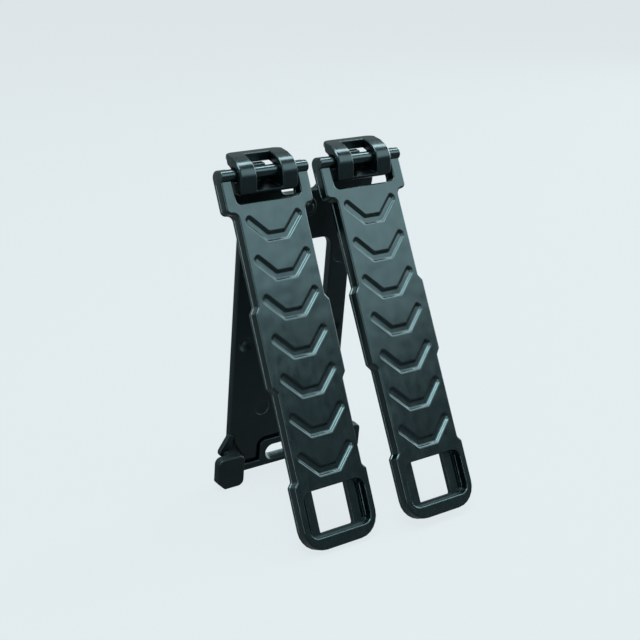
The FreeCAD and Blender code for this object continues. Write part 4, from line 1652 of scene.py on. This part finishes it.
# ------------------------------------------------------------------ studio
@dataclass(frozen=True)
class SoftBox:
    """Rectangular soft light that looks at the part; its distance, width and height are metres."""

    name: str
    azimuth: float
    elevation: float
    distance: float
    width: float
    height: float
    power: float
    colour: tuple[float, float, float] = (0.90, 1.0, 1.02)

    def add(self, aim: Vector) -> bpy.types.Object:
        """Place the light.

        Args:
            aim: the point that it looks at, in metres.

        Returns:
            The light.
        """
        data = bpy.data.lights.new(self.name, "AREA")
        data.shape = "RECTANGLE"
        data.size, data.size_y = self.width, self.height
        data.energy = self.power
        data.color = self.colour
        away = direction(self.azimuth, self.elevation)
        light = new_object(self.name, data)
        light.location = aim + away * self.distance
        light.rotation_euler = away.to_track_quat("Z", "Y").to_euler()
        return light


@dataclass(frozen=True)
class Studio:
    """Plain pale floor and surroundings with soft lights; lengths are metres."""

    floor_half_width: float = 6.0
    aim_down: float = 0.05
    background: Colour = (0.745, 0.807, 0.831, 1.0)
    surroundings: Colour = (0.72, 0.84, 0.87, 1.0)
    fill: float = 0.2
    mirrored_ahead: float = 0.16
    mirrored_behind: float = 0.50
    floor_share: float = 0.955
    floor_glow: float = 1.003
    floor_mirrored: float = 0.20
    floor_mirrored_behind: float = 0.9
    floor_behind: tuple[float, float] = (0.12, 0.35)
    world_behind: tuple[float, float] = (-0.3, 0.5)
    lights: tuple[SoftBox, ...] = (
        SoftBox("right_panel", azimuth=38.0, elevation=34.5, distance=1.2,
                width=1.6, height=0.6, power=6.3),
        SoftBox("overhead_strip", azimuth=101.0, elevation=75.0, distance=1.0,
                width=0.26, height=1.6, power=11.0),
        SoftBox("overhead_left", azimuth=-45.0, elevation=66.0, distance=1.0,
                width=0.5, height=0.4, power=6.0),
        SoftBox("left_strip", azimuth=-60.0, elevation=16.0, distance=1.2,
                width=0.25, height=1.0, power=3.0),
        SoftBox("right_low", azimuth=96.0, elevation=18.0, distance=1.2,
                width=1.1, height=0.7, power=12.5),
    )

    def add(self, aim: Vector) -> None:
        """Build the floor, the world and the lights.

        Args:
            aim: the point that the lights look at.
        """
        half = self.floor_half_width
        mesh = bmesh.new()
        outline = ((-half, -half), (half, -half), (half, half), (-half, half))
        mesh.faces.new([mesh.verts.new((x, y, 0.0)) for x, y in outline])
        data = bpy.data.meshes.new("floor")
        mesh.to_mesh(data)
        mesh.free()
        data.materials.append(self.floor_finish())
        floor = new_object("floor", data)
        self.light_world()
        [light.add(aim) for light in self.lights]

    def floor_finish(self) -> bpy.types.Material:
        """Pale floor that shows its own colour and keeps the part's shadow; in reflections it is a painted
        glow, dim ahead of the part and brighter behind it.

        Returns:
            The material.
        """
        material = bpy.data.materials.new("pale_floor")
        kit = NodeKit.empty(material)
        matt = kit.add("ShaderNodeBsdfDiffuse", {"Color": self.background})
        path = kit.add("ShaderNodeLightPath")
        mirrored = path.outputs["Is Glossy Ray"]
        place = kit.add("ShaderNodeSeparateXYZ", {"Vector": kit.add("ShaderNodeTexCoord").outputs["Object"]})
        across = kit.math("ADD", place.outputs["X"], place.outputs["Y"])
        # painted reflection: in reflections the floor glows dim ahead of the part and brighter behind it
        patch = kit.spread(across, *self.floor_behind, self.floor_mirrored, self.floor_mirrored_behind)
        level = kit.spread(mirrored, low=0.0, high=1.0, start=self.floor_glow, end=patch)
        glow = kit.add("ShaderNodeEmission", {"Color": self.background, "Strength": level})
        seen = kit.math("MAXIMUM", path.outputs["Is Camera Ray"], path.outputs["Is Transmission Ray"])
        share = kit.math("MAXIMUM", kit.math("MULTIPLY", seen, self.floor_share), mirrored)
        mixed = kit.add("ShaderNodeMixShader", {"Fac": share, 1: matt.outputs["BSDF"],
                                                2: glow.outputs["Emission"]})
        kit.add("ShaderNodeOutputMaterial", {"Surface": mixed.outputs["Shader"]})
        return material

    def light_world(self) -> None:
        """Set the world's soft light."""
        world = bpy.data.worlds.new("surroundings")
        bpy.context.scene.world = world
        kit = NodeKit.empty(world)
        path = kit.add("ShaderNodeLightPath")
        around = kit.add("ShaderNodeTexCoord").outputs["Generated"]
        heading = kit.add("ShaderNodeSeparateXYZ", {"Vector": around})
        wall = kit.spread(heading.outputs["Y"], *self.world_behind, self.mirrored_ahead, self.mirrored_behind)
        level = kit.spread(path.outputs["Is Glossy Ray"], low=0.0, high=1.0, start=self.fill, end=wall)
        fill = kit.add("ShaderNodeBackground", {"Color": self.surroundings, "Strength": level})
        backdrop = kit.add("ShaderNodeBackground", {"Color": self.background, "Strength": 1.0})
        mixed = kit.add("ShaderNodeMixShader", {"Fac": path.outputs["Is Camera Ray"],
                                                1: fill.outputs["Background"],
                                                2: backdrop.outputs["Background"]})
        kit.add("ShaderNodeOutputWorld", {"Surface": mixed.outputs["Shader"]})


@dataclass(frozen=True)
class ViewPoint:
    """Where the camera stands, measured from the middle of the hinge line."""

    azimuth: float = 35.51
    elevation: float = 17.81
    distance: float = 424.62
    rightward: float = 2.6514
    below: float = 50.8554
    lens: float = 72.97
    sensor_width: float = 36.0
    nearest: float = 10.0

    def add(self, hinge: Vector) -> None:
        """Place the camera.

        Args:
            hinge: the middle of the hinge line, in metres.
        """
        back = direction(-self.azimuth, self.elevation)
        right = direction(90.0 - self.azimuth, 0.0)
        up = back.cross(right)
        data = bpy.data.cameras.new("studio_camera")
        data.lens = self.lens
        data.sensor_width = self.sensor_width
        data.clip_start = self.nearest * MM
        camera = new_object("studio_camera", data)
        spot = hinge + (right * self.rightward - up * self.below + back * self.distance) * MM
        turned = Matrix((right, up, back)).transposed().to_4x4()
        camera.matrix_world = Matrix.Translation(spot) @ turned
        bpy.context.scene.camera = camera


def main() -> None:
    """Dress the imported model, piece by piece, and set up its studio."""
    logging.basicConfig(level=logging.INFO, format="%(message)s")
    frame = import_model()
    bpy.context.scene.view_settings.view_transform = "Standard"
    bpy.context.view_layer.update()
    stance = Stance.of(frame["record"])
    finishes = all_finishes()
    pieces: list[BackFrame | HingeHook | Latch | Strap] = [BackFrame()]
    for side in Side:
        pieces += [HingeHook(side), Latch(side), Strap(side)]
    for piece in pieces:
        piece.dress(stance, finishes)
        LOG.info("%s %s dressed", type(piece).__name__, getattr(piece, "side", ""))
    Studio().add(stance.hinge - Vector((0.0, 0.0, Studio.aim_down)))
    ViewPoint().add(stance.hinge)


if __name__ == "__main__":
    main()
